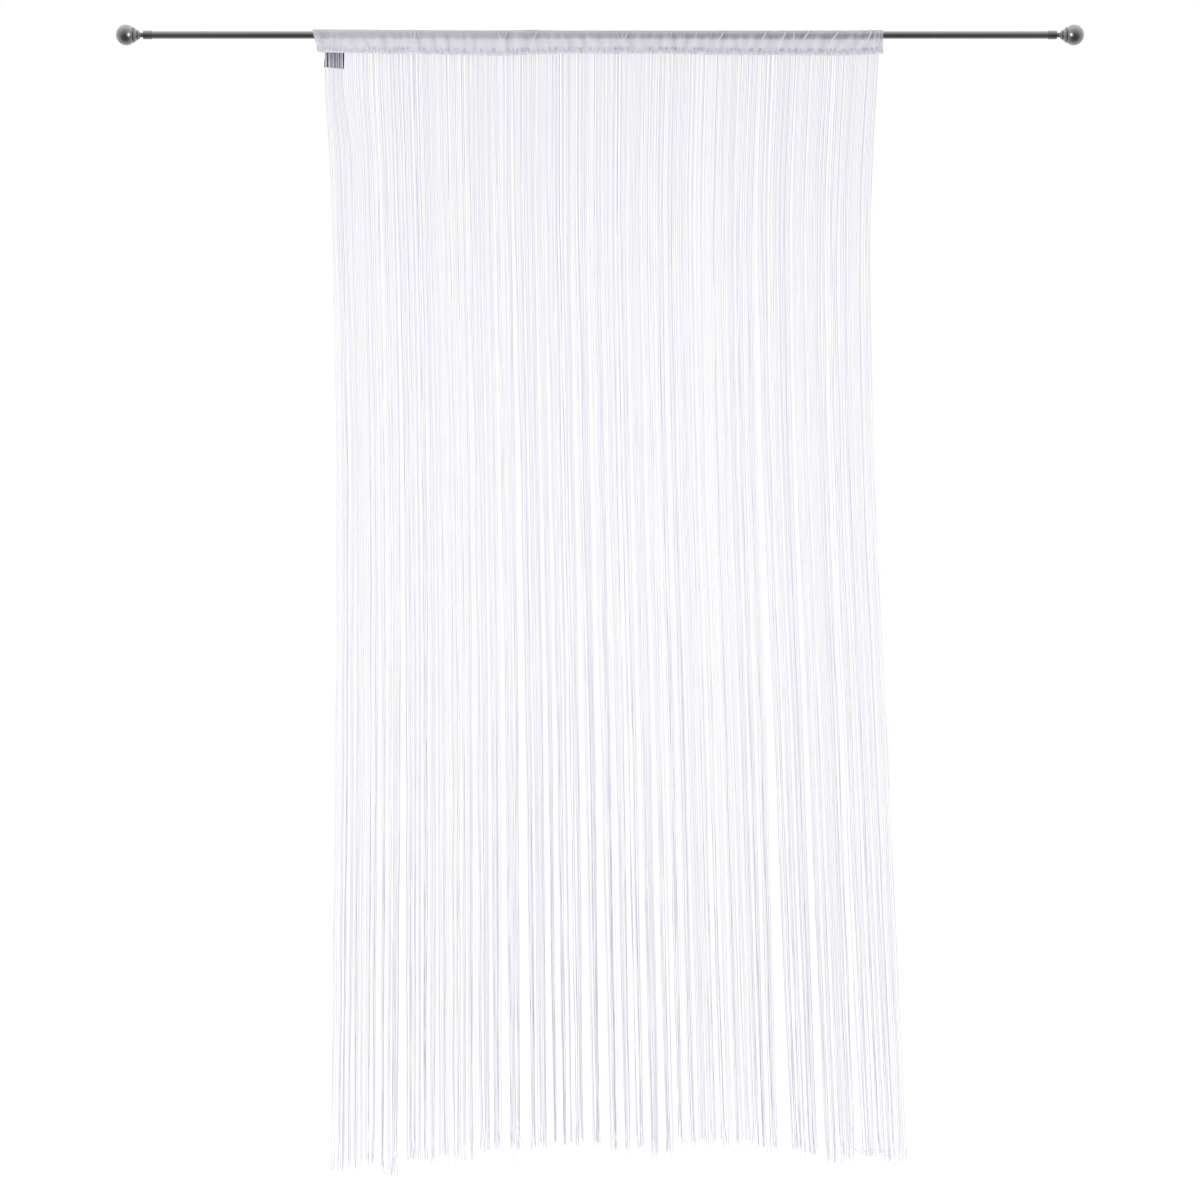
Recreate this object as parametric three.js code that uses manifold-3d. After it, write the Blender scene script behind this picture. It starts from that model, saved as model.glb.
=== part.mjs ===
// A string curtain that hangs by its rod pocket from a straight rod with ball finials.
// Millimetres. +Z is up, +X runs along the rod and the side seen from the room faces -Y.
// The origin is the middle of the rod's axis.

import * as THREE from 'three';
import { mergeGeometries, mergeVertices } from 'three/addons/utils/BufferGeometryUtils.js';
import Module from 'manifold-3d';

const wasm = await Module();
wasm.setup();

// Room between two pieces that rest on each other
const SEAT_GAP = 0.3;

// Rod: a steel tube
const ROD_RADIUS = 10;
const ROD_WALL = 1;

// End caps: a cup over each end of the rod, with a plate that the finial's stud goes through
const CAP_FACE_X = 1206;
const CAP_LENGTH = 22.5;
const CAP_WALL = 1;
const CAP_PLATE = 3;
const CAP_BEVEL = 0.8;

// Finials: a ball on two turned collars, a neck and a stud
const STUD_RADIUS = 3;
const STUD_LENGTH = 24;
const BALL_RADIUS = 27;
const BALL_OUT = 45;
const BALL_FOOT_RADIUS = 19.4;
const BALL_STEPS = 10;
const TURNED_SIDES = 24;

// Turning of each finial between the cap and the ball: how far out from the cap's face, and its radius
const COLLARS = [
  { out: 0, radius: 7 },
  { out: 8.4, radius: 7 },
  { out: 9.7, radius: 9.6 },
  { out: 16.4, radius: 14 },
  { out: 17.8, radius: 12.6 },
  { out: 19.2, radius: 15.2 },
  { out: 25.2, radius: 20.6 },
];

// Heading band: one strip of voile, folded over the rod and stitched below it
const CLOTH = 1.2;
const POCKET_RADIUS = 10.5;
const SEAM_DROP = 36;
const BAND_DROP = 50;
const ROOT_STRIP = 4;
const ARC_STEPS = 5;
const FLANK_STEPS = 3;
const BAND_LEFT = { at: -740, lean: -15, proud: 0 };
const BAND_RIGHT = { at: 747, lean: 0, proud: 0 };
const BACK_SHARE = 0.5;

// Main creases of the pocket: where each stands above the stitch line, how far its top leans
// along the rod, its half width and how far it stands proud of the cloth beside it
const CREASES = [
  { at: -718, lean: -16, half: 10, proud: 1.6 },
  { at: -684, lean: -12, half: 12, proud: 1.2 },
  { at: -640, lean: -20, half: 14, proud: 1.0 },
  { at: -570, lean: -8, half: 14, proud: 0.9 },
  { at: -500, lean: -12, half: 10, proud: 1.6 },
  { at: -470, lean: 6, half: 10, proud: 1.4 },
  { at: -404, lean: -14, half: 14, proud: 1.2 },
  { at: -258, lean: 20, half: 12, proud: 1.8 },
  { at: -178, lean: 16, half: 14, proud: 2.0 },
  { at: -105, lean: -22, half: 16, proud: 1.0 },
  { at: 52, lean: 6, half: 12, proud: 1.6 },
  { at: 188, lean: 2, half: 10, proud: 1.2 },
  { at: 316, lean: 16, half: 12, proud: 1.8 },
  { at: 434, lean: 18, half: 12, proud: 1.8 },
  { at: 486, lean: 20, half: 14, proud: 1.6 },
  { at: 548, lean: 20, half: 14, proud: 1.6 },
  { at: 632, lean: 26, half: 16, proud: 1.8 },
  { at: 706, lean: 20, half: 12, proud: 1.6 },
];

// Run of the band along the rod: how far its top stands above the rod's axis, and its lower edge below
const BAND_RUN = [
  { at: -740, crest: 15.0, edge: 45.6 },
  { at: -684, crest: 14.6, edge: 47.2 },
  { at: -570, crest: 13.4, edge: 49.1 },
  { at: -470, crest: 13.0, edge: 50.2 },
  { at: -404, crest: 12.6, edge: 52.0 },
  { at: -258, crest: 12.0, edge: 54.6 },
  { at: -178, crest: 13.6, edge: 51.6 },
  { at: -105, crest: 11.8, edge: 49.1 },
  { at: 188, crest: 11.7, edge: 49.4 },
  { at: 316, crest: 11.7, edge: 52.4 },
  { at: 486, crest: 11.7, edge: 53.1 },
  { at: 632, crest: 11.7, edge: 54.0 },
  { at: 706, crest: 12.8, edge: 51.8 },
  { at: 747, crest: 13.8, edge: 48.8 },
];

// Strings: each is a slim prism, standing for one and a half of the real strings. They drift into
// three rows, one behind another, each lock sways a little to the front or back, and the tips are uneven
const STRING_COUNT = 300;
const STRING_RADIUS = 1.15;
const STRING_SIDES = 3;
const ROOT_DEPTH = 1.5;
const STRING_ROWS = [-4, 0, 4];
const LOCK_SWAY = 5;
const SWAY_PHASE = 2.4;
const TIP_SCATTER = 9;
const SCATTER_PHASE = 5.1;

// Levels of the hanging sheet of strings: how far below the rod's axis, where its two sides are,
// and the share of the way that the strings have drawn together into locks
const LEVELS = [
  { down: 50, left: -728, right: 738, gathered: 0 },
  { down: 435, left: -713, right: 718, gathered: 0.13 },
  { down: 1000, left: -699, right: 722, gathered: 0.33 },
  { down: 1900, left: -698, right: 761, gathered: 0.65 },
  { down: 2950, left: -708, right: 810, gathered: 1 },
];

// Locks at the lower end: the sides of each and how far below the rod's axis its tips end
const LOCKS = [
  { left: -708, right: -700, tip: 2996 },
  { left: -692, right: -673, tip: 2996 },
  { left: -660, right: -639, tip: 2990 },
  { left: -628, right: -594, tip: 2970 },
  { left: -583, right: -570, tip: 2990 },
  { left: -560, right: -536, tip: 3008 },
  { left: -507, right: -486, tip: 2970 },
  { left: -478, right: -454, tip: 2965 },
  { left: -446, right: -433, tip: 2982 },
  { left: -422, right: -399, tip: 2957 },
  { left: -391, right: -354, tip: 2962 },
  { left: -346, right: -327, tip: 2966 },
  { left: -314, right: -288, tip: 2938 },
  { left: -280, right: -261, tip: 2938 },
  { left: -235, right: -211, tip: 2938 },
  { left: -182, right: -166, tip: 2936 },
  { left: -158, right: -140, tip: 2930 },
  { left: -123, right: -112, tip: 2922 },
  { left: -99, right: -86, tip: 2930 },
  { left: -69, right: -45, tip: 2922 },
  { left: -18, right: 0, tip: 2925 },
  { left: 31, right: 50, tip: 2938 },
  { left: 68, right: 83, tip: 2941 },
  { left: 100, right: 116, tip: 2930 },
  { left: 135, right: 156, tip: 2957 },
  { left: 174, right: 193, tip: 2950 },
  { left: 206, right: 224, tip: 2912 },
  { left: 238, right: 252, tip: 2920 },
  { left: 264, right: 312, tip: 2922 },
  { left: 319, right: 350, tip: 2925 },
  { left: 357, right: 409, tip: 2925 },
  { left: 415, right: 470, tip: 2938 },
  { left: 507, right: 534, tip: 2944 },
  { left: 542, right: 573, tip: 2954 },
  { left: 594, right: 622, tip: 2973 },
  { left: 629, right: 673, tip: 2965 },
  { left: 694, right: 722, tip: 2957 },
  { left: 730, right: 739, tip: 2950 },
  { left: 750, right: 783, tip: 2973 },
  { left: 788, right: 810, tip: 2965 },
];

// Label: a woven strip sewn to the back of the band at the left end, hanging behind the strings
const LABEL_LEFT = -729;
const LABEL_WIDTH = 53;
const LABEL_TOP = 38.5;
const LABEL_BOTTOM = 84.5;
const LABEL_SLANT = 5;
const LABEL_THICK = 1;
const LABEL_SWING = 5;
const LABEL_STEPS = 4;

const VOILE = { color: 0xe9e8f0, roughness: 0.85, metalness: 0 };
const YARN = { color: 0xf2f1f7, roughness: 0.8, metalness: 0 };
const LABEL_CLOTH = { color: 0x1b1c24, roughness: 0.9, metalness: 0 };
const ROD_STEEL = { color: 0x7d8084, roughness: 0.35, metalness: 0.9 };
const CAP_METAL = { color: 0x75787c, roughness: 0.4, metalness: 0.9 };
const NICKEL = { color: 0xb2b4b6, roughness: 0.4, metalness: 0.9 };

const { clamp, lerp } = THREE.MathUtils;

// Value of one column of a table at a place along the rod, on straight lines between its rows
function alongTable(rows, column, at) {
  const last = rows.length - 1;
  const next = clamp(rows.findIndex((row) => row.at > at), 1, last);
  const upper = at >= rows[last].at ? last : next;
  const a = rows[upper - 1];
  const b = rows[upper];
  return lerp(a[column], b[column], clamp((at - a.at) / (b.at - a.at), 0, 1));
}

// Stations of the band: its two ends, and a foot, a ridge and a foot for each crease
function bandStations() {
  const folds = CREASES.flatMap(({ at, lean, half, proud }) => [
    { at: at - half, lean, proud: 0 },
    { at, lean, proud },
    { at: at + half, lean, proud: 0 },
  ]);
  return [BAND_LEFT, ...folds, BAND_RIGHT];
}

// A cross-section (across, up) swept through the stations of the band and draped there
function sweepBand(section) {
  const stations = bandStations();
  const steps = stations.length - 1;
  const geometry = new THREE.ExtrudeGeometry(section, {
    depth: steps,
    steps,
    bevelEnabled: false,
    curveSegments: ARC_STEPS,
  });
  const points = geometry.attributes.position;
  for (let i = 0; i < points.count; i += 1) {
    const station = stations[Math.round(points.getZ(i))];
    const draped = drape(station, points.getX(i), points.getY(i));
    points.setXYZ(i, draped.x, draped.y, draped.z);
  }
  return geometry;
}

// Place of a point of the section at one station: creased, lifted off the rod and led by the lower edge
function drape(station, across, up) {
  const rise = clamp((up + SEAM_DROP) / SEAM_DROP, 0, 1);
  const outer = POCKET_RADIUS + CLOTH;
  const above = Math.max(up, 0);
  const reach = Math.hypot(across, above);
  const proud = station.proud * rise * (across < 0 ? 1 : BACK_SHARE);
  const push = reach > 0 ? proud / reach : 0;
  const lift = (alongTable(BAND_RUN, 'crest', station.at) - outer) * (above / outer);
  const sag = (BAND_DROP - alongTable(BAND_RUN, 'edge', station.at)) * (1 - rise);
  return {
    x: station.at + station.lean * rise,
    y: across * (1 + push),
    z: up + above * push + lift + sag,
  };
}

// Traces the pocket's drop shape: up one side from the stitch line, over the rod and down again
function traceDrop(path, radius, foot) {
  const angle = Math.asin(radius / SEAM_DROP);
  const side = [];
  for (let step = 0; step < FLANK_STEPS; step += 1) {
    const share = step / FLANK_STEPS;
    const across = lerp(foot, radius * Math.cos(angle), share);
    side.push({ across, up: lerp(-SEAM_DROP, -radius * Math.sin(angle), share) });
  }
  side.forEach(({ across, up }) => path.lineTo(across, up));
  path.absarc(0, 0, radius, -angle, Math.PI + angle);
  side.reverse().forEach(({ across, up }) => path.lineTo(-across, up));
}

// Heading band: two layers over the rod, joined at the stitch line, with the pocket open at both ends
function makeHeader() {
  const hem = -(BAND_DROP - ROOT_STRIP - SEAT_GAP);
  const section = new THREE.Shape();
  section.moveTo(CLOTH, hem);
  traceDrop(section, POCKET_RADIUS + CLOTH, CLOTH);
  section.lineTo(-CLOTH, hem);
  const pocket = new THREE.Path();
  pocket.moveTo(0, -SEAM_DROP);
  traceDrop(pocket, POCKET_RADIUS, 0);
  section.holes.push(pocket);
  return sweepBand(section);
}

// A closed geometry as a solid, with its shared corners joined
function solidOf(geometry) {
  const bare = geometry.clone();
  bare.deleteAttribute('normal');
  bare.deleteAttribute('uv');
  const merged = mergeVertices(bare);
  return new wasm.Manifold(new wasm.Mesh({
    numProp: 3,
    vertProperties: new Float32Array(merged.attributes.position.array),
    triVerts: new Uint32Array(merged.index.array),
  }));
}

// A solid's faces as a geometry
function geometryOf(solid) {
  const { vertProperties, triVerts } = solid.getMesh();
  const geometry = new THREE.BufferGeometry();
  geometry.setAttribute('position', new THREE.BufferAttribute(vertProperties, 3));
  geometry.setIndex(new THREE.BufferAttribute(triVerts, 1));
  geometry.computeVertexNormals();
  return geometry;
}

// Middle of the gap that follows each lock, up to which it has drawn its strings in
function lockReach(index) {
  const next = LOCKS[index + 1];
  return next ? (LOCKS[index].right + next.left) / 2 : LOCKS[index].right;
}

// Lock that a string at a share of the sheet's width is drawn into, and its share of the width there
function lockOf(share) {
  const first = LOCKS[0].left;
  const width = LOCKS.at(-1).right - first;
  const free = first + share * width;
  const index = LOCKS.findIndex((_, i) => free < lockReach(i));
  const { left, right, tip } = LOCKS[index];
  const from = index > 0 ? lockReach(index - 1) : first;
  const held = lerp(left, right, (free - from) / (lockReach(index) - from));
  return { index, tip, share: (held - first) / width };
}

// Centre of one string at each level, from its root in the band to its tip
function stringPath(number) {
  const share = (number + 0.5) / STRING_COUNT;
  const lock = lockOf(share);
  const row = STRING_ROWS[number % STRING_ROWS.length];
  const sway = LOCK_SWAY * Math.sin(SWAY_PHASE * lock.index);
  return LEVELS.map(({ down, left, right, gathered }, level) => {
    const x = lerp(left, right, lerp(share, lock.share, gathered));
    const y = (row + sway) * gathered;
    if (level === 0) {
      return new THREE.Vector3(x, y, ROOT_DEPTH - alongTable(BAND_RUN, 'edge', x));
    }
    const tip = lock.tip + TIP_SCATTER * Math.sin(SCATTER_PHASE * number);
    return new THREE.Vector3(x, y, -(level === LEVELS.length - 1 ? tip : down));
  });
}

// A regular polygon with a corner at the back
function polygon(sides, radius) {
  const corners = Array.from({ length: sides }, (_, corner) => {
    const angle = (corner / sides) * 2 * Math.PI + Math.PI / 2;
    return new THREE.Vector2(radius * Math.cos(angle), radius * Math.sin(angle));
  });
  return new THREE.Shape(corners);
}

// One string: a three-sided prism bent along its path
function makeString(number) {
  const path = stringPath(number);
  const section = polygon(STRING_SIDES, STRING_RADIUS);
  const steps = path.length - 1;
  const geometry = new THREE.ExtrudeGeometry(section, { depth: steps, steps, bevelEnabled: false });
  const points = geometry.attributes.position;
  for (let i = 0; i < points.count; i += 1) {
    const centre = path[steps - Math.round(points.getZ(i))];
    points.setXYZ(i, centre.x + points.getX(i), centre.y + points.getY(i), centre.z);
  }
  return geometry;
}

// All the strings with their roots fused into the narrow strip of the band's lower edge
function makeStrings() {
  const top = -(BAND_DROP - ROOT_STRIP);
  const corners = [[-CLOTH, -BAND_DROP], [CLOTH, -BAND_DROP], [CLOTH, top], [-CLOTH, top]];
  const strip = sweepBand(new THREE.Shape(corners.map(([across, up]) => new THREE.Vector2(across, up))));
  const strings = Array.from({ length: STRING_COUNT }, (_, number) => makeString(number));
  return geometryOf(solidOf(strip).add(solidOf(mergeGeometries(strings))));
}

// Label: flat against the band at its top, swinging a little back below it, with a slanting lower edge
function makeLabel() {
  const height = LABEL_BOTTOM - LABEL_TOP;
  const front = CLOTH + SEAT_GAP;
  const geometry = new THREE.BoxGeometry(LABEL_WIDTH, LABEL_THICK, height, LABEL_STEPS, 1, LABEL_STEPS);
  const points = geometry.attributes.position;
  for (let i = 0; i < points.count; i += 1) {
    const along = points.getX(i) / LABEL_WIDTH + 0.5;
    const fall = 0.5 - points.getZ(i) / height;
    points.setXYZ(
      i,
      LABEL_LEFT + along * LABEL_WIDTH,
      front + LABEL_THICK / 2 + points.getY(i) + LABEL_SWING * fall * fall,
      -LABEL_TOP - fall * (height + LABEL_SLANT * along),
    );
  }
  return geometry;
}

// Rod: a straight tube between the plates of the two end caps
function makeRod() {
  const length = 2 * (CAP_FACE_X - CAP_PLATE - SEAT_GAP);
  const ring = new THREE.Shape();
  ring.absarc(0, 0, ROD_RADIUS, 0, 2 * Math.PI);
  const bore = new THREE.Path();
  bore.absarc(0, 0, ROD_RADIUS - ROD_WALL, 0, 2 * Math.PI);
  ring.holes.push(bore);
  const geometry = new THREE.ExtrudeGeometry(ring, { depth: length, bevelEnabled: false, curveSegments: 12 });
  return geometry.translate(0, 0, -length / 2).rotateY(Math.PI / 2);
}

// End cap about +Y, with its outer face at the origin and its mouth towards -Y
function makeCap() {
  const bore = ROD_RADIUS + SEAT_GAP;
  const outside = bore + CAP_WALL;
  const hole = STUD_RADIUS + SEAT_GAP;
  const profile = [
    [hole, 0],
    [hole, -CAP_PLATE],
    [bore, -CAP_PLATE],
    [bore, -CAP_LENGTH],
    [outside, -CAP_LENGTH],
    [outside, -CAP_BEVEL],
    [outside - CAP_BEVEL, 0],
    [hole, 0],
  ];
  return new THREE.LatheGeometry(profile.map(([x, y]) => new THREE.Vector2(x, y)), TURNED_SIDES);
}

// Finial about +Y, measured from the end cap's outer face, with its stud reaching down through the cap
function makeFinial() {
  const stud = [[0, -STUD_LENGTH], [STUD_RADIUS, -STUD_LENGTH], [STUD_RADIUS, SEAT_GAP]];
  const collars = COLLARS.map(({ out, radius }) => [radius, Math.max(out, SEAT_GAP)]);
  const foot = Math.asin(BALL_FOOT_RADIUS / BALL_RADIUS);
  const ball = [];
  for (let step = 0; step <= BALL_STEPS; step += 1) {
    const angle = lerp(foot, Math.PI, step / BALL_STEPS);
    const radius = step === BALL_STEPS ? 0 : BALL_RADIUS * Math.sin(angle);
    ball.push([radius, BALL_OUT - BALL_RADIUS * Math.cos(angle)]);
  }
  const profile = [...stud, ...collars, ...ball].map(([x, y]) => new THREE.Vector2(x, y));
  return new THREE.LatheGeometry(profile, TURNED_SIDES);
}

// A named piece with its own material
function piece(name, geometry, finish) {
  const mesh = new THREE.Mesh(geometry, new THREE.MeshStandardMaterial(finish));
  mesh.name = name;
  return mesh;
}

const curtain = new THREE.Group();
curtain.add(piece('rod', makeRod(), ROD_STEEL));
curtain.add(piece('header', makeHeader(), VOILE));
curtain.add(piece('strings', makeStrings(), YARN));
curtain.add(piece('sewn_label', makeLabel(), LABEL_CLOTH));

// The two ends are alike, each turned to face away from the middle
for (const [side, sign] of [['left', -1], ['right', 1]]) {
  const end = new THREE.Group();
  end.position.x = sign * CAP_FACE_X;
  end.rotation.z = (-sign * Math.PI) / 2;
  end.add(piece(`end_cap_${side}`, makeCap(), CAP_METAL));
  end.add(piece(`finial_${side}`, makeFinial(), NICKEL));
  curtain.add(end);
}

export default curtain;
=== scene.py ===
"""Looks of a string curtain that hangs by its rod pocket from a straight rod with ball finials.

Sizes are millimetres and turn into metres as a mesh is made. +Z is up, +X runs along the rod and the
side seen from the room faces -Y. The origin is the middle of the rod's axis. A place is measured
along the rod, and a depth down from its axis.
"""

import logging
import math
from collections.abc import Callable, Iterator, Mapping, Sequence
from contextlib import contextmanager
from dataclasses import dataclass, field
from enum import Enum
from typing import Any, NamedTuple

import bpy
import numpy as np
from mathutils import Color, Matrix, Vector
from numpy import ndarray


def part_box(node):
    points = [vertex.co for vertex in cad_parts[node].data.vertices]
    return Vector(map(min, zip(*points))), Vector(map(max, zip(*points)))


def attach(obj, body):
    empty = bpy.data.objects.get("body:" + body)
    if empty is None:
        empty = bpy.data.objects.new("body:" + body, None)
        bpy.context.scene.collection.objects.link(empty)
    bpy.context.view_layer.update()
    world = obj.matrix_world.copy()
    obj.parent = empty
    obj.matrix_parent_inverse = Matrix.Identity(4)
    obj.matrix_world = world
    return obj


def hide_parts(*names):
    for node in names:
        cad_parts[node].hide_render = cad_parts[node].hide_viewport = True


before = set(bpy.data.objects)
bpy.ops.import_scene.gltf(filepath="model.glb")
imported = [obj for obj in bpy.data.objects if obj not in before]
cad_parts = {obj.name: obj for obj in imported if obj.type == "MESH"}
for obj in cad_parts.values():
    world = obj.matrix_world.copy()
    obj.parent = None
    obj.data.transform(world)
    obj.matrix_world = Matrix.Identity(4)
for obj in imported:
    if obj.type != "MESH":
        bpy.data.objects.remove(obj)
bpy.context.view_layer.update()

Piece = bpy.types.Object
Tree = bpy.types.NodeTree
Socket = bpy.types.NodeSocket
Pair = tuple[float, float]
Triple = tuple[float, float, float]
Profile = Sequence[Pair]

LOG = logging.getLogger("string_curtain")
MM = 0.001
BODY = "root"
FULL_TURN = 2 * math.pi
RIGHT_ANGLE = math.pi / 2
WHITE = "FFFFFF"
NO_TUCK = -1
# Corners that are closer than this, in metres, become one
WELD = 1e-5
# Place of the end caps' outer faces, on both sides
CAP_FACE_X = 1206.0


class Side(Enum):
    """An end of the rod, as the sign of X."""

    LEFT = -1
    RIGHT = 1


class Face(Enum):
    """A layer of the heading band, as the sign of Y that it faces."""

    FRONT = -1
    BACK = 1


class Pick(Enum):
    """What is selected in edit mode: the operators' name for it, and the mesh's."""

    VERT = "vertices"
    FACE = "polygons"


class Hold(Enum):
    """How a sheet of cloth is held."""

    HUNG = "hung"
    FOLDED = "folded"


class BandPlace(NamedTuple):
    """The heading band at one place along the rod.

    Attributes:
        at: The place.
        crest: Height of the band's top.
        edge: Depth of its lower edge.
    """

    at: float
    crest: float
    edge: float


class Tuck(NamedTuple):
    """A narrow crease of the rod pocket that is folded over on itself.

    Attributes:
        at: Where it would meet the stitch line.
        lean: How far its top leans.
        over: How far its fold laps over the cloth beside it, to the left below zero.
        proud: How far it stands off the cloth.
        low: Where it starts, as a share of the way from the stitch line up to the crest.
        high: Where it ends, as such a share.
    """

    at: float
    lean: float
    over: float
    proud: float
    low: float
    high: float


class SoftCrease(NamedTuple):
    """A soft roll or trough of the rod pocket, along a slanting line.

    Attributes:
        x_top: Place of its upper end.
        x_foot: Place of its lower end.
        half: Its half width.
        proud: How far it stands off the cloth, below zero for a trough.
        z_top: Height of its upper end.
        z_foot: Height of its lower end.
    """

    x_top: float
    x_foot: float
    half: float
    proud: float
    z_top: float
    z_foot: float


class FallLevel(NamedTuple):
    """One level of the hanging sheet of strings.

    Attributes:
        down: Its depth.
        left: Place of the sheet's left side.
        right: Place of its right side.
        gathered: Share of the way that the strings have drawn together into locks.
    """

    down: float
    left: float
    right: float
    gathered: float


class Lock(NamedTuple):
    """A lock of strings at the lower end.

    Attributes:
        left: Place of its left side.
        right: Place of its right side.
        tip: Depth of its tips.
    """

    left: float
    right: float
    tip: float


class Wisp(NamedTuple):
    """A string whose end is curled up sideways.

    Attributes:
        at: Place of the string's lower end.
        tip: Depth at which it would end if it hung straight.
        length: Length of the curled end.
        turn: How far it turns away from the plumb, in radians, to the right above zero.
    """

    at: float
    tip: float
    length: float
    turn: float


class YarnShading(NamedTuple):
    """The painted light and painted shade on the strings at one depth.

    Attributes:
        down: The depth.
        usual: The painted light and shade there, as a tone from the pale colour to the darker one.
        painted_grey: How much grey shade is painted there.
    """

    down: float
    usual: float
    painted_grey: float


class Recess(NamedTuple):
    """A turned recess, where shade is painted: its place out from the cap, half width and share."""

    out: float
    half: float
    share: float


BAND_RUN = (
    BandPlace(-740, 15.0, 45.6),
    BandPlace(-684, 14.6, 47.2),
    BandPlace(-570, 13.4, 49.1),
    BandPlace(-470, 13.0, 50.2),
    BandPlace(-404, 12.6, 52.0),
    BandPlace(-258, 12.0, 54.6),
    BandPlace(-178, 13.6, 51.6),
    BandPlace(-105, 11.8, 49.1),
    BandPlace(188, 11.7, 49.4),
    BandPlace(316, 11.7, 52.4),
    BandPlace(486, 11.7, 53.1),
    BandPlace(632, 11.7, 54.0),
    BandPlace(706, 12.8, 51.8),
    BandPlace(747, 13.8, 48.8),
)

TUCKS = (
    Tuck(-741.0, -15, 1.6, 1.6, 0.10, 1.2),
    Tuck(-735.5, -14, 1.6, 1.5, 0.26, 1.2),
    Tuck(-716.0, -9, 1.4, 0.7, 0.42, 1.0),
    Tuck(-497.5, -4, 2.6, 1.8, 0.40, 1.2),
    Tuck(-491.5, 4, 2.6, 1.8, 0.40, 1.1),
    Tuck(-474.2, -6, 2.2, 1.5, 0.42, 1.1),
    Tuck(-259.8, -9, -3.0, 1.3, 0.42, 1.1),
    Tuck(-253.8, 9, 3.0, 1.5, 0.42, 1.2),
    Tuck(-183.4, -7, -2.8, 1.1, 0.36, 1.2),
    Tuck(-176.8, 10, 3.4, 1.7, 0.32, 1.3),
    Tuck(-150.0, -4, -2.2, 0.7, 0.46, 1.0),
    Tuck(52.2, -9, -2.6, 1.7, 0.42, 1.1),
    Tuck(58.2, 1, 2.0, 1.4, 0.45, 1.0),
    Tuck(64.2, 9, 2.8, 1.8, 0.42, 1.1),
    Tuck(185.0, 3, 2.2, 1.0, 0.42, 0.95),
    Tuck(222.0, 1, 2.2, 0.8, 0.44, 0.95),
    Tuck(249.6, 5, 2.4, 1.1, 0.42, 1.0),
    Tuck(292.0, 1, 1.8, 0.9, 0.45, 0.95),
    Tuck(310.8, 16, 3.4, 2.0, 0.36, 1.1),
    Tuck(423.8, 16, 3.4, 2.0, 0.38, 1.1),
    Tuck(477.7, 12, 3.2, 2.0, 0.36, 1.1),
    Tuck(510.0, 1, 2.4, 1.6, 0.40, 1.0),
    Tuck(532.7, 18, 3.8, 2.1, 0.34, 1.1),
    Tuck(608.5, 21, 3.8, 2.1, 0.36, 1.1),
    Tuck(704.7, 10, 3.4, 2.1, 0.30, 1.2),
    Tuck(722.0, 3, 2.4, 1.0, 0.34, 1.1),
    Tuck(735.0, 1, 2.2, 0.9, 0.26, 1.1),
)

# Soft creases over the front of the rod, the first four columns of SoftCrease
ROD_CREASES = (
    (-738, -726, 3, -1.3), (-724, -718, 3, -1.2), (-710, -708, 4, 0.5), (-697, -692, 5, 0.6),
    (-673, -673, 6, -0.6), (-612, -607, 5, 0.4), (-591, -589, 5, 0.5), (-573, -573, 5, -0.5),
    (-557, -557, 5, 0.4), (-528, -525, 5, -0.7), (-517, -515, 4, 0.6), (-504, -499, 3, -0.8),
    (-480, -478, 4, -0.8), (-462, -457, 5, 0.4), (-441, -441, 4, -0.5), (-430, -430, 4, 0.5),
    (-417, -417, 4, 0.6), (-409, -404, 4, -0.9), (-385, -385, 4, 0.4), (-367, -367, 3, 0.6),
    (-362, -359, 3, -1), (-348, -348, 5, 0.4), (-240, -246, 4, -1.4), (-224, -224, 5, 0.6),
    (-201, -201, 5, -0.6), (-158, -166, 4, -0.9), (-127, -127, 6, 0.5), (-100, -100, 4, 0.6),
    (-92, -92, 4, -0.5), (-61, -61, 4, 0.4), (-50, -50, 4, -0.6), (-34, -34, 4, 0.4),
    (-13, -13, 4, 0.5), (-3, -3, 4, -0.5), (13, 13, 4, 0.4), (40, 37, 3, 0.8), (48, 48, 3, -0.8),
    (77, 74, 3, -0.9), (100, 100, 5, 0.5), (121, 121, 3, 0.5), (129, 129, 3, -0.6), (143, 143, 4, 0.6),
    (158, 161, 4, -0.6), (195, 195, 5, -0.9), (235, 235, 4, -0.8), (272, 272, 4, -0.5),
    (298, 298, 4, -0.8), (330, 327, 4, -0.8), (372, 372, 4, 0.4), (383, 383, 4, -0.4),
    (401, 401, 4, 0.6), (417, 417, 5, -0.6), (451, 451, 4, -0.5), (467, 467, 4, -0.6),
    (496, 496, 3, -1), (533, 531, 4, -1.2), (565, 565, 4, -0.7), (578, 578, 4, 0.5),
    (605, 605, 5, -0.7), (647, 647, 5, -0.8), (665, 665, 4, 0.6), (686, 678, 4, 0.9),
    (700, 694, 3, -1.5), (721, 718, 3, -1.2),
)
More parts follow.
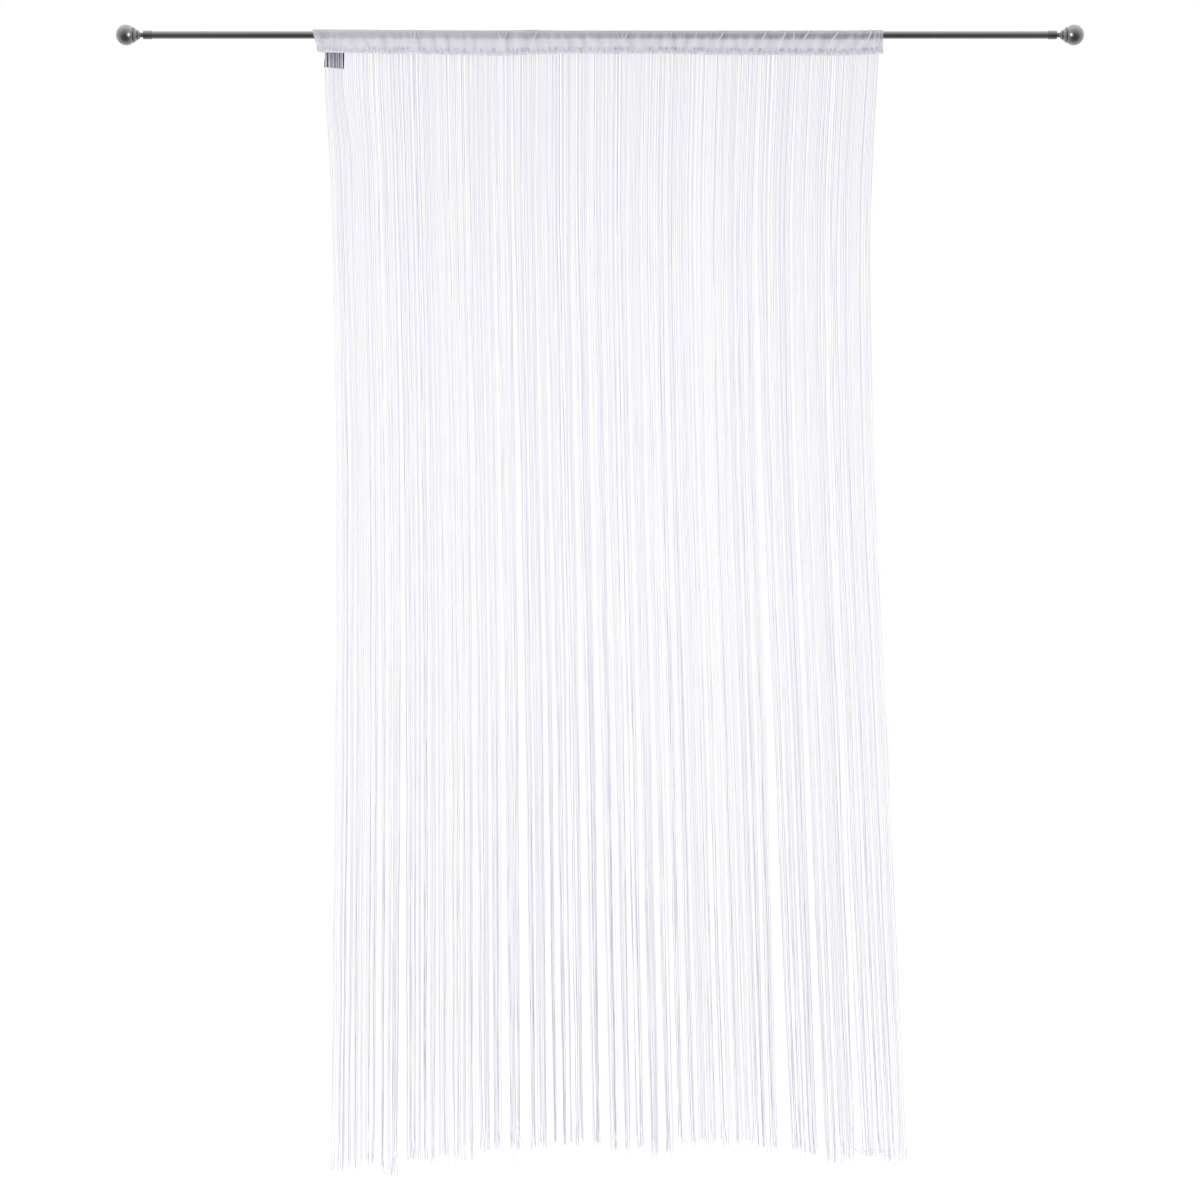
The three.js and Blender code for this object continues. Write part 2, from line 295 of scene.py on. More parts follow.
# Soft creases of the pocket below the rod, in the same columns
POCKET_CREASES = (
    (-734, -734, 4, -0.8), (-700, -700, 6, -0.4), (-673, -673, 8, 0.8), (-655, -655, 5, -0.3),
    (-634, -631, 6, 0.5), (-623, -612, 4, -0.5), (-589, -599, 7, 0.8), (-570, -568, 5, -0.9),
    (-554, -552, 5, 0.7), (-517, -517, 5, 0.6), (-491, -491, 5, 0.9), (-478, -475, 5, -0.9),
    (-457, -454, 7, 1), (-438, -436, 4, -0.9), (-422, -417, 7, 1), (-401, -399, 5, -0.9),
    (-388, -383, 6, 0.8), (-348, -346, 7, 0.6), (-333, -330, 6, -0.7), (-317, -317, 8, 0.5),
    (-264, -259, 10, 0.8), (-243, -246, 6, -1.1), (-219, -222, 9, 1), (-195, -195, 5, -0.6),
    (-177, -182, 6, 0.7), (-164, -164, 5, -0.5), (-148, -140, 5, 0.9), (-124, -119, 5, 0.7),
    (-98, -95, 6, 1), (-82, -79, 5, -0.6), (-63, -55, 6, 1.1), (-42, -40, 4, -0.8), (-29, -21, 7, 1.4),
    (-5, 0, 6, -0.5), (16, 16, 5, 1), (34, 42, 4, 0.6), (61, 66, 5, 0.8), (79, 84, 6, -0.8),
    (100, 100, 8, 1.1), (116, 116, 6, -0.4), (137, 129, 7, 0.5), (158, 161, 6, -0.6),
    (174, 174, 8, 1.2), (195, 195, 6, -0.8), (214, 211, 7, 1.3), (230, 227, 5, -0.8), (251, 248, 7, 1),
    (267, 267, 5, -0.5), (282, 282, 5, 0.9), (312, 309, 5, 1.1), (325, 322, 4, -0.7),
    (343, 343, 5, 1.2), (359, 359, 5, -0.5), (370, 370, 5, 0.7), (399, 396, 7, 0.8),
    (412, 412, 6, -0.4), (433, 428, 7, 1.2), (449, 446, 5, -0.6), (478, 470, 7, 1.3),
    (510, 504, 5, 1.2), (539, 533, 6, 1), (570, 568, 7, 1.1), (591, 591, 6, -0.6), (615, 607, 7, 1.2),
    (628, 628, 5, -0.5), (660, 636, 5, 1.6), (676, 673, 6, -0.6), (702, 681, 5, 1.2),
    (726, 723, 5, 1.7), (742, 739, 3, -0.9),
)
ROD_HEIGHTS = (6, -8)
ROLL_HEIGHTS = (-11, -32)
TROUGH_HEIGHTS = (-11, -31)
SOFT_CREASES = (
    *(SoftCrease(*row, *ROD_HEIGHTS) for row in ROD_CREASES),
    *(SoftCrease(*row, *(TROUGH_HEIGHTS if row[-1] < 0 else ROLL_HEIGHTS)) for row in POCKET_CREASES),
)

FALL_LEVELS = (
    FallLevel(50, -728, 738, 0.0),
    FallLevel(435, -713, 718, 0.13),
    FallLevel(1000, -699, 722, 0.33),
    FallLevel(1900, -698, 761, 0.55),
    FallLevel(2500, -704, 788, 0.75),
    FallLevel(2950, -708, 810, 0.95),
)

# The locks from left to right, in the columns of Lock
LOCK_ROWS = (
    (-708, -700, 2996), (-692, -673, 2996), (-660, -639, 2990), (-628, -594, 2970), (-583, -570, 2990),
    (-560, -536, 3008), (-507, -486, 2970), (-478, -454, 2965), (-446, -433, 2982), (-422, -399, 2957),
    (-391, -354, 2962), (-346, -327, 2966), (-314, -288, 2938), (-280, -261, 2938), (-235, -211, 2938),
    (-182, -166, 2936), (-158, -140, 2930), (-123, -112, 2922), (-99, -86, 2930), (-69, -45, 2922),
    (-18, 0, 2925), (31, 50, 2938), (68, 83, 2941), (100, 116, 2930), (135, 156, 2957),
    (174, 193, 2950), (206, 224, 2912), (238, 252, 2920), (264, 312, 2922), (319, 350, 2925),
    (357, 409, 2925), (415, 470, 2938), (507, 534, 2944), (542, 573, 2954), (594, 622, 2973),
    (629, 673, 2965), (694, 722, 2957), (730, 739, 2950), (750, 783, 2973), (788, 810, 2965),
)
LOCKS = tuple(Lock(*row) for row in LOCK_ROWS)

WISPS = (
    Wisp(658, 3038, 112, 1.5),
    Wisp(662, 3042, 120, 1.55),
    Wisp(668, 3039, 108, 1.45),
    Wisp(-520, 2990, 60, -0.9),
    Wisp(-101, 2948, 60, 0.8),
    Wisp(233, 2950, 50, -0.8),
    Wisp(598, 2996, 60, 0.9),
)

# Painted light and shade down the strings: darker near the top and the lower ends, greyer lower down
YARN_SHADING = (
    YarnShading(50, 0.52, 0.0),
    YarnShading(400, 0.38, 0.0),
    YarnShading(700, 0.28, 0.0),
    YarnShading(1500, 0.22, 0.1),
    YarnShading(1900, 0.24, 0.2),
    YarnShading(2400, 0.36, 0.35),
    YarnShading(2950, 0.44, 0.45),
)


def linear(hex_colour: str) -> tuple[float, ...]:
    """Turns six hex digits of sRGB to linear red, green and blue, and an alpha of one."""
    channels = np.frombuffer(bytes.fromhex(hex_colour), np.uint8) / np.iinfo(np.uint8).max
    return (*Color(channels).from_srgb_to_scene_linear(), 1.0)


def eased(share: ndarray | float) -> ndarray:
    """Turns a share to one that starts and ends gently, held between zero and one."""
    held = np.clip(share, 0, 1)
    return held * held * (3 - 2 * held)


def ramp(values: ndarray, start: float, end: float) -> ndarray:
    """Rises gently from zero at one value to one at another."""
    return eased((values - start) / (end - start))


def between(values: ndarray, low: float | ndarray, high: float | ndarray, fades: Pair) -> ndarray:
    """Is one between two values, and rises and falls gently over a length inside each."""
    return eased((values - low) / fades[0]) * eased((high - values) / fades[1])


def along(rows: Sequence[Any], key: str, column: str, places: ndarray) -> ndarray:
    """Reads a table's column at places in its key column, on straight lines between its rows."""
    keys = [getattr(row, key) for row in rows]
    return np.interp(places, keys, [getattr(row, column) for row in rows])


def smooth_along(rows: Sequence[Any], key: str, column: str, places: ndarray | float) -> ndarray:
    """Reads a table's column at places in its key column, on a smooth curve through its rows.

    Args:
        rows: The table's rows, in the order of their key.
        key: Name of the column that places are given in.
        column: Name of the column that is read.
        places: The places.

    Returns:
        The column's value at each place.
    """
    keys = np.array([getattr(row, key) for row in rows], float)
    values = np.array([getattr(row, column) for row in rows], float)
    slopes = np.gradient(values, keys)
    low = np.clip(np.searchsorted(keys, places) - 1, 0, len(keys) - 2)
    span = keys[low + 1] - keys[low]
    share = np.clip((places - keys[low]) / span, 0, 1)
    rise = eased(share)
    leave = share * (1 - share) ** 2
    arrive = share**2 * (1 - share)
    bend = span * (slopes[low] * leave - slopes[low + 1] * arrive)
    return values[low] * (1 - rise) + values[low + 1] * rise + bend


@dataclass(frozen=True)
class Unevenness:
    """Smooth random unevenness over a surface, the same on each run.

    Attributes:
        seed: Number that picks the pattern.
        cell: Usual size of a bump along each of the two directions.
        cells: How many bumps each direction has before the pattern repeats.
    """

    seed: int
    cell: Pair
    cells: int = 512

    def at(self, across: ndarray, down: ndarray | float) -> ndarray:
        """Reads the unevenness at places.

        Args:
            across: Places along the first direction.
            down: Places along the second.

        Returns:
            A value from minus one to one for each place.
        """
        knots = np.random.default_rng(self.seed).uniform(-1, 1, (self.cells, self.cells))
        u, v = np.broadcast_arrays(across / self.cell[0], down / self.cell[1])
        i, j = np.floor(u).astype(int), np.floor(v).astype(int)
        s, t = eased(u - i), eased(v - j)
        upper = self.knot(knots, i, j) * (1 - s) + self.knot(knots, i + 1, j) * s
        lower = self.knot(knots, i, j + 1) * (1 - s) + self.knot(knots, i + 1, j + 1) * s
        return upper * (1 - t) + lower * t

    def knot(self, knots: ndarray, i: ndarray, j: ndarray) -> ndarray:
        """Takes the random value at each pair of cell numbers."""
        return knots[i % self.cells, j % self.cells]


def make_active(piece: Piece) -> None:
    """Selects one piece alone and makes it the active one.

    Args:
        piece: The piece.
    """
    bpy.ops.object.select_all(action="DESELECT")
    piece.select_set(True)
    bpy.context.view_layer.objects.active = piece


@contextmanager
def editing(piece: Piece, pick: Pick) -> Iterator[None]:
    """Opens a piece in edit mode with nothing selected, and closes it again.

    Args:
        piece: The piece to edit.
        pick: What is selected there.

    Yields:
        Nothing.
    """
    make_active(piece)
    bpy.ops.object.mode_set(mode="EDIT")
    bpy.ops.mesh.select_mode(type=pick.name)
    bpy.ops.mesh.select_all(action="DESELECT")
    yield
    bpy.ops.object.mode_set(mode="OBJECT")


def select(piece: Piece, pick: Pick, wanted: Callable[[Any], bool]) -> None:
    """Selects, in edit mode, the corners or faces of a piece that a test picks out.

    Args:
        piece: The piece, open in edit mode.
        pick: What is tested.
        wanted: Says of one of them whether it is selected.
    """
    bpy.ops.mesh.select_all(action="DESELECT")
    bpy.ops.object.mode_set(mode="OBJECT")
    for element in getattr(piece.data, pick.value):
        element.select = wanted(element)
    bpy.ops.object.mode_set(mode="EDIT")


def settle(name: str, scale: Triple = (1, 1, 1)) -> Piece:
    """Names the piece that was added last, and puts its place, turn and scale into its mesh.

    Args:
        name: The piece's name.
        scale: How much larger it is made along each axis.

    Returns:
        The piece.
    """
    piece = bpy.context.object
    piece.name = piece.data.name = name
    piece.scale = scale
    make_active(piece)
    bpy.ops.object.transform_apply(location=True, rotation=True, scale=True)
    return piece


def apply_modifier(piece: Piece, kind: str, **settings: Any) -> None:
    """Gives a piece a modifier and applies it.

    Args:
        piece: The piece.
        kind: The modifier's type.
        **settings: Its settings.
    """
    make_active(piece)
    modifier = piece.modifiers.new(kind.title(), kind)
    for name, value in settings.items():
        setattr(modifier, name, value)
    bpy.ops.object.modifier_apply(modifier=modifier.name)


def break_edges(piece: Piece, width: float, sharpest: float) -> None:
    """Gives a piece's edges that turn by more than an angle in degrees two small chamfers."""
    limit = {"limit_method": "ANGLE", "angle_limit": math.radians(sharpest)}
    apply_modifier(piece, "BEVEL", width=width * MM, segments=2, **limit)


def smooth(piece: Piece, sharpest: float) -> None:
    """Shades a piece smooth, but for edges that turn by more than an angle in degrees."""
    make_active(piece)
    bpy.ops.object.shade_smooth_by_angle(angle=math.radians(sharpest))


def mesh_piece(name: str, points: ndarray, faces: Sequence[Sequence[int]]) -> Piece:
    """Makes a smooth mesh piece at the origin.

    Args:
        name: The piece's name.
        points: Its corners, in millimetres.
        faces: The corners of each face, in order.

    Returns:
        The new piece.
    """
    mesh = bpy.data.meshes.new(name)
    mesh.from_pydata((points.reshape(-1, 3) * MM).tolist(), [], faces)
    mesh.shade_smooth()
    piece = bpy.data.objects.new(name, mesh)
    bpy.context.scene.collection.objects.link(piece)
    return piece


def give_map(piece: Piece, places: ndarray) -> None:
    """Gives a mesh its UV map: two coordinates for each corner of each face, in the faces' order."""
    layer = piece.data.uv_layers.new(name="cloth")
    layer.data.foreach_set("uv", np.asarray(places, np.float32).ravel())


def paint(piece: Piece, name: str, values: ndarray) -> None:
    """Gives each corner of a mesh one named value from zero to one, which its material reads."""
    attribute = piece.data.attributes.new(name, "FLOAT", "POINT")
    attribute.data.foreach_set("value", np.clip(values, 0, 1).astype(np.float32).ravel())


def cloth_piece(name: str, points: ndarray, flat: ndarray, thick: float, **painted: ndarray) -> Piece:
    """Makes a sheet of cloth from a grid of corners.

    Args:
        name: The piece's name.
        points: The corners down the middle of the cloth, row by row, in millimetres.
        flat: Where each of them lies on the cloth as it is cut, in millimetres.
        thick: Thickness of the cloth, in millimetres.
        **painted: The values that its material reads at each corner, by name.

    Returns:
        The new piece.
    """
    number = np.arange(points[..., 0].size).reshape(points.shape[:2])
    corners = (number[:-1, :-1], number[1:, :-1], number[1:, 1:], number[:-1, 1:])
    faces = np.stack(corners, -1).reshape(-1, len(corners))
    piece = mesh_piece(name, points, faces.tolist())
    give_map(piece, flat.reshape(-1, 2)[faces.ravel()] * MM)
    for value, at_corners in painted.items():
        paint(piece, value, np.broadcast_to(at_corners, points.shape[:2]))
    apply_modifier(piece, "SOLIDIFY", thickness=thick * MM, offset=0.0)
    return piece


def add_node(
    tree: Tree, kind: str, output: str, inputs: Mapping[str | int, Any] | None = None, **settings: Any
) -> Socket:
    """Adds a shader node to a tree, with its settings and links.

    Args:
        tree: The tree.
        kind: The node's type, without the words that it starts with for all shader nodes.
        output: Name of the output that is wanted.
        inputs: For each input by name or number, its value or the output that is linked to it.
        **settings: The node's own settings.

    Returns:
        The wanted output.
    """
    node = tree.nodes.new(f"ShaderNode{kind}")
    for name, value in settings.items():
        setattr(node, name, value)
    join(tree, node, inputs or {})
    return node.outputs[output]


def join(tree: Tree, node: bpy.types.Node, inputs: Mapping[str | int, Any]) -> None:
    """Sets or links a node's inputs.

    Args:
        tree: The node's tree.
        node: The node.
        inputs: For each input by name or number, its value or the output that is linked to it.
    """
    for name, value in inputs.items():
        if isinstance(value, Socket):
            tree.links.new(value, node.inputs[name])
        else:
            node.inputs[name].default_value = value


def own_node(tree: Tree, kind: str) -> bpy.types.Node:
    """Takes the node of a kind that a new tree comes with."""
    return next(node for node in tree.nodes if node.type == kind)


def tinted(tree: Tree, colour: Any, tints: Mapping[str, str]) -> Socket:
    """Blends a colour into others, by the share of each that is painted on the piece.

    Args:
        tree: The material's tree.
        colour: The colour, or the output that gives it.
        tints: For each painted value by name, the colour that it stands for.

    Returns:
        Output that gives the blended colour.
    """
    for name, tint in tints.items():
        share = add_node(tree, "Attribute", "Fac", attribute_name=name)
        colour = add_node(tree, "MixRGB", "Color", {"Fac": share, "Color1": colour, "Color2": linear(tint)})
    return colour


def plain_weave(tree: Tree, place: Socket, thread: float) -> Socket:
    """Adds the relief of a plain weave: threads that pass over and under each other in turn.

    Args:
        tree: The material's tree.
        place: Output that gives the place on the cloth, in metres.
        thread: Spacing of the threads, in millimetres.

    Returns:
        Output that gives the height of the weave, from zero to one.
    """
    turns = {"Vector": place, "Scale": 0.5 / (thread * MM), "Distortion": 0.4}
    warp = add_node(tree, "TexWave", "Fac", turns, bands_direction="X")
    weft = add_node(tree, "TexWave", "Fac", turns, bands_direction="Y")
    over = add_node(tree, "TexChecker", "Fac", {"Vector": place, "Scale": 1 / (thread * MM)})
    return add_node(tree, "MixRGB", "Color", {"Fac": over, "Color1": warp, "Color2": weft})


@dataclass(frozen=True)
class Finish:
    """A finish: one material, and how it is put on a piece.

    Attributes:
        name: The material's name.
        slot: The record's material slot that it stands for, or none for the studio's own; not used.
        roughness: Roughness of the surface.
    """

    name: str
    slot: str
    roughness: float

    def material(self) -> bpy.types.Material:
        """Makes the finish's material, or takes the one that is there.

        Returns:
            The material.
        """
        known = bpy.data.materials.get(self.name)
        if known:
            return known
        made = bpy.data.materials.new(self.name)
        made.use_nodes = True
        shader = own_node(made.node_tree, "BSDF_PRINCIPLED")
        join(made.node_tree, shader, {"Roughness": self.roughness})
        join(made.node_tree, shader, self.looks(made.node_tree))
        return made

    def looks(self, tree: Tree) -> dict[str, Any]:
        """Gives what is special to this finish: values or outputs for the shader's inputs."""
        raise NotImplementedError

    def put_on(self, piece: Piece, *stands_for: str) -> Piece:
        """Dresses a piece in the finish and fixes it to the body.

        Args:
            piece: The piece.
            *stands_for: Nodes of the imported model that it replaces.

        Returns:
            The same piece.
        """
        piece.data.materials.clear()
        piece.data.materials.append(self.material())
        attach(piece, BODY)
        if stands_for:
            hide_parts(*stands_for)
        LOG.info("%s: %d faces, %s", piece.name, len(piece.data.polygons), self.name)
        return piece


@dataclass(frozen=True)
class WovenVoile(Finish):
    """White polyester voile, plain woven from fine yarn, so thin that what is behind it shows.

    Attributes:
        base: Colour of the cloth lying flat.
        fold: Colour where it lies double, which is paler, and of the painted light where it stands up.
        hollow: Colour of the painted shade in gathers and troughs, beside tucks and over the taut rod.
        alpha: Share of the light that each face of the sheet stops.
        folded_alpha: The same where a tuck lays it threefold.
        thread: Spacing of the threads, drawn coarser than the real 0.3 mm so that it shows.
        slub: Length and height of the thick places in the weft, in metres.
    """

    base: str
    fold: str
    hollow: str
    alpha: float
    folded_alpha: float
    thread: float
    slub: Pair

    def looks(self, tree: Tree) -> dict[str, Any]:
        """Gives the weave, the slubs, and the painted light and painted shade of the folds.

        Args:
            tree: The material's tree.

        Returns:
            Values or outputs for the shader's inputs.
        """
        place = add_node(tree, "TexCoord", "UV")
        size = (1 / self.slub[0], 1 / self.slub[1], 1)
        spread = add_node(tree, "Mapping", "Vector", {"Vector": place, "Scale": size})
        slubs = add_node(tree, "TexNoise", "Fac", {"Vector": spread, "Scale": 1.0, "Detail": 3.0})
        mixed = {"Fac": 0.12, "Color1": linear(self.base), "Color2": slubs}
        uneven = add_node(tree, "MixRGB", "Color", mixed, blend_type="OVERLAY")
        threads = {0: plain_weave(tree, place, self.thread), 1: slubs}
        height = add_node(tree, "Math", "Value", threads, operation="ADD")
        layers = add_node(tree, "Attribute", "Fac", attribute_name="layers")
        stopped = {"Value": layers, "To Min": self.alpha, "To Max": self.folded_alpha}
        relief = {"Height": height, "Strength": 0.35, "Distance": 0.1 * MM}
        # the base colour takes the painted light on folds and rolls and the painted shade in gathers and
        # troughs
        return {
            "Base Color": tinted(tree, uneven, {"fold": self.fold, "hollow": self.hollow}),
            "Normal": add_node(tree, "Bump", "Normal", relief),
            "Alpha": add_node(tree, "MapRange", "Result", stopped),
            "Specular IOR Level": 0.2,
            "Sheen Weight": 0.08,
        }


@dataclass(frozen=True)
class TwistedYarn(Finish):
    """White polyester yarn, two plies twisted together, with a soft sheen.

    Attributes:
        pale: Colour at the pale end of the tone: each string's own tone and painted light and shade.
        dim: Colour at its darker end.
        grey_shade: Colour of the grey shade painted towards the lower end.
        twist: Length of one turn of the plies.
    """

    pale: str
    dim: str
    grey_shade: str
    twist: float

    def looks(self, tree: Tree) -> dict[str, Any]:
        """Gives the plies' twist, each string's own tone and the painted light and shade along it.

        Args:
            tree: The material's tree.

        Returns:
            Values or outputs for the shader's inputs.
        """
        place = add_node(tree, "TexCoord", "UV")
        # tone holds each string's own tone and painted light and shade; low is the painted grey shade
        colour = tinted(tree, linear(self.pale), {"tone": self.dim, "low": self.grey_shade})
        blotches = add_node(tree, "TexNoise", "Fac", {"Vector": place, "Scale": 30.0, "Detail": 2.0})
        mottled = {"Fac": 0.1, "Color1": colour, "Color2": blotches}
        size = (1, 1 / (self.twist * MM), 1)
        slanted = add_node(tree, "Mapping", "Vector", {"Vector": place, "Scale": size})
        waves = {"Vector": slanted, "Scale": 0.6, "Distortion": 0.6}
        plies = add_node(tree, "TexWave", "Fac", waves, bands_direction="DIAGONAL")
        relief = {"Height": plies, "Strength": 0.5, "Distance": 0.2 * MM}
        return {
            "Base Color": add_node(tree, "MixRGB", "Color", mottled, blend_type="OVERLAY"),
            "Normal": add_node(tree, "Bump", "Normal", relief),
            "Specular IOR Level": 0.3,
            "Sheen Weight": 0.1,
        }


@dataclass(frozen=True)
class WovenRibbon(Finish):
    """Dark polyester label ribbon, damask woven, matt with a fine rib and denser side edges.

    Attributes:
        base: Colour of the face.
        rim: Colour of the denser edges.
        rib: Spacing of the ribs.
        rim_share: Share of the width that each edge takes.
    """

    base: str
    rim: str
    rib: float
    rim_share: float

    def looks(self, tree: Tree) -> dict[str, Any]:
        """Gives the ribs and the edges.

        Args:
            tree: The material's tree.

        Returns:
            Values or outputs for the shader's inputs.
        """
        weave = plain_weave(tree, add_node(tree, "TexCoord", "UV"), self.rib)
        colour = tinted(tree, linear(self.base), {"rim": self.rim})
        ribbed = {"Fac": 0.35, "Color1": colour, "Color2": weave}
        relief = {"Height": weave, "Strength": 0.6, "Distance": 0.15 * MM}
        return {
            "Base Color": add_node(tree, "MixRGB", "Color", ribbed, blend_type="OVERLAY"),
            "Normal": add_node(tree, "Bump", "Normal", relief),
            "Sheen Weight": 0.05,
        }


@dataclass(frozen=True)
class SatinNickel(Finish):
    """Nickel plate over steel or zinc, brushed and then satin finished.

    Attributes:
        base: Colour of the metal.
        dim: Colour where the plate is a little duller.
        grain: Length and width of the brush marks, the first along the rod.
        cloud: Size of the duller patches.
        relief: Depth of the brush marks.
        recess_shade: Colour of the painted shade down in a recess.
        brushing: Least and greatest roughness across the brush marks, as shares of the usual one.
    """

    base: str
    dim: str
    grain: Pair
    cloud: float
    relief: float
    recess_shade: str = "3A3B3E"
    brushing: Pair = (0.8, 1.25)

    def looks(self, tree: Tree) -> dict[str, Any]:
        """Gives the brush marks and the duller patches.

        Args:
            tree: The material's tree.

        Returns:
            Values or outputs for the shader's inputs.
        """
        place = add_node(tree, "TexCoord", "Object")
        along_rod, across = (1 / (size * MM) for size in self.grain)
        drawn_out = {"Vector": place, "Scale": (along_rod, across, across)}
        stretched = add_node(tree, "Mapping", "Vector", drawn_out)
        marks = add_node(tree, "TexNoise", "Fac", {"Vector": stretched, "Scale": 1.0, "Detail": 2.0})
        clouds = {"Vector": place, "Scale": 1 / (self.cloud * MM), "Detail": 4.0}
        patches = add_node(tree, "TexNoise", "Fac", clouds)
        mixed = {"Fac": patches, "Color1": linear(self.base), "Color2": linear(self.dim)}
        plate = add_node(tree, "MixRGB", "Color", mixed)
        least, most = (self.roughness * share for share in self.brushing)
        brushed = {"Value": marks, "To Min": least, "To Max": most}
        relief = {"Height": marks, "Strength": 0.3, "Distance": self.relief * MM}
        # painted shade in the recesses darkens the plate
        return {
            "Base Color": tinted(tree, plate, {"recess": self.recess_shade}),
            "Metallic": 1.0,
            "Roughness": add_node(tree, "MapRange", "Result", brushed),
            "Normal": add_node(tree, "Bump", "Normal", relief),
        }


@dataclass(frozen=True)
class LitFloor(Finish):
    """Pale matt studio floor, lit up to the white of the room.

    Attributes:
        base: Its colour.
        dim: Its colour where it is a little duller.
        shine: Its own light.
    """

    base: str
    dim: str
    shine: float

    def looks(self, tree: Tree) -> dict[str, Any]:
        """Gives the slight mottle and the light.

        Args:
            tree: The material's tree.

        Returns:
            Values or outputs for the shader's inputs.
        """
        place = add_node(tree, "TexCoord", "Object")
        mottle = add_node(tree, "TexNoise", "Fac", {"Vector": place, "Scale": 3.0})
        mixed = {"Fac": mottle, "Color1": linear(self.base), "Color2": linear(self.dim)}
        return {
            "Base Color": add_node(tree, "MixRGB", "Color", mixed),
            "Emission Color": linear(WHITE),
            "Emission Strength": self.shine,
        }


# Sheer cloth: pale grey-lavender, because the white yarn lets some of what is behind it through
VOILE = WovenVoile(
    name="woven_voile",
    slot="voile",
    roughness=0.9,
    base="EFEEF8",
    # paler where the cloth lies double, and painted light where it stands up in rolls and over the rod
    fold="FDFCFF",
    # painted shade in gathers, troughs and beside tucks, and where the rod shows through taut cloth
    hollow="B2B1BD",
    alpha=0.43,
    folded_alpha=0.66,
    thread=0.6,
    slub=(0.020, 0.0012),
)
# The knitted strip that the strings' roots are worked into: the same white, but it lets nothing through
SELVEDGE = TwistedYarn(
    "knitted_selvedge", "yarn", 0.9, pale="ECEAF4", dim="C8C6D1", grey_shade="C8C6D1", twist=2.0
)
# Optical whitener gives the yarn its lavender cast, and the filaments their soft sheen
STRING_YARN = TwistedYarn(
    # the last colour is the grey shade painted towards the strings' lower ends
    "polyester_string", "yarn", 0.75, pale="F1F0F7", dim="B4ACD5", grey_shade="C7C5CB", twist=4.0
)
# Fine spun thread, duller than the strings
SEWING_THREAD = TwistedYarn(
    "sewing_thread", "voile", 0.85, pale="F0EFF7", dim="E0DFE9", grey_shade="E0DFE9", twist=0.8
)
# Dyed through, close woven and matt, so it stays near black in plain light
LABEL_RIBBON = WovenRibbon(
    "label_ribbon", "label_cloth", 0.9, base="2A2B31", rim="34353C", rib=0.5, rim_share=0.03
)
# Drawn steel tube, brushed along its length: a bright streak above, a dark one at the front
BRUSHED_TUBE = SatinNickel(
    "brushed_nickel_tube", "rod_steel", 0.2, "B4B5B8", "A6A7AA", grain=(40.0, 0.5), cloud=30.0, relief=0.02
)
# Pressed steel cup, plated after pressing, a little duller than the tube
PRESSED_NICKEL = SatinNickel(
    "pressed_nickel", "cap_metal", 0.24, "ABACAF", "9C9DA0", grain=(0.5, 6.0), cloud=12.0, relief=0.02
)
# Turned and satin plated: the grain runs round the ball, and the sheen is broad and pearly
PEARL_NICKEL = SatinNickel(
    "pearl_nickel", "nickel", 0.26, "BDBEC0", "A9AAAD", grain=(0.6, 8.0), cloud=9.0, relief=0.03
)
PALE_FLOOR = LitFloor("pale_floor", "", 0.9, base="9E9E9E", dim="A2A2A2", shine=0.67)


@dataclass
class CurtainRod:
    """The curtain rod: a straight steel tube between the plates of the two end caps.

    Attributes:
        radius: Radius of the tube.
        wall: Thickness of its wall.
        bore_depth: How far its inside is modelled from each end.
        bevel: Width of the broken edge at its ends.
        sides: Number of its sides.
        sharp: Least turn of an edge that is broken, in degrees.
        soft: Greatest turn of an edge that is shaded smooth, in degrees.
    """

    radius: float = 10.0
    wall: float = 1.0
    bore_depth: float = 60.0
    bevel: float = 0.25
    sides: int = 96
    sharp: float = 60.0
    soft: float = 30.0

    def build(self) -> None:
        """Draws the tube, bores its ends and dresses it."""
        low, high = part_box("rod")
        bpy.ops.mesh.primitive_cylinder_add(
            vertices=self.sides,
            radius=self.radius * MM,
            depth=high.x - low.x,
            location=(low + high) / 2,
            rotation=(0, RIGHT_ANGLE, 0),
        )
        tube = settle("rod_tube")
        inward = {"value": -self.bore_depth * MM}
        with editing(tube, Pick.FACE):
            select(tube, Pick.FACE, lambda face: round(abs(face.normal.x)) == 1)
            bpy.ops.mesh.inset(thickness=self.wall * MM)
            bpy.ops.mesh.extrude_region_shrink_fatten(TRANSFORM_OT_shrink_fatten=inward)
        break_edges(tube, self.bevel, self.sharp)
        smooth(tube, self.soft)
        BRUSHED_TUBE.put_on(tube, "rod")


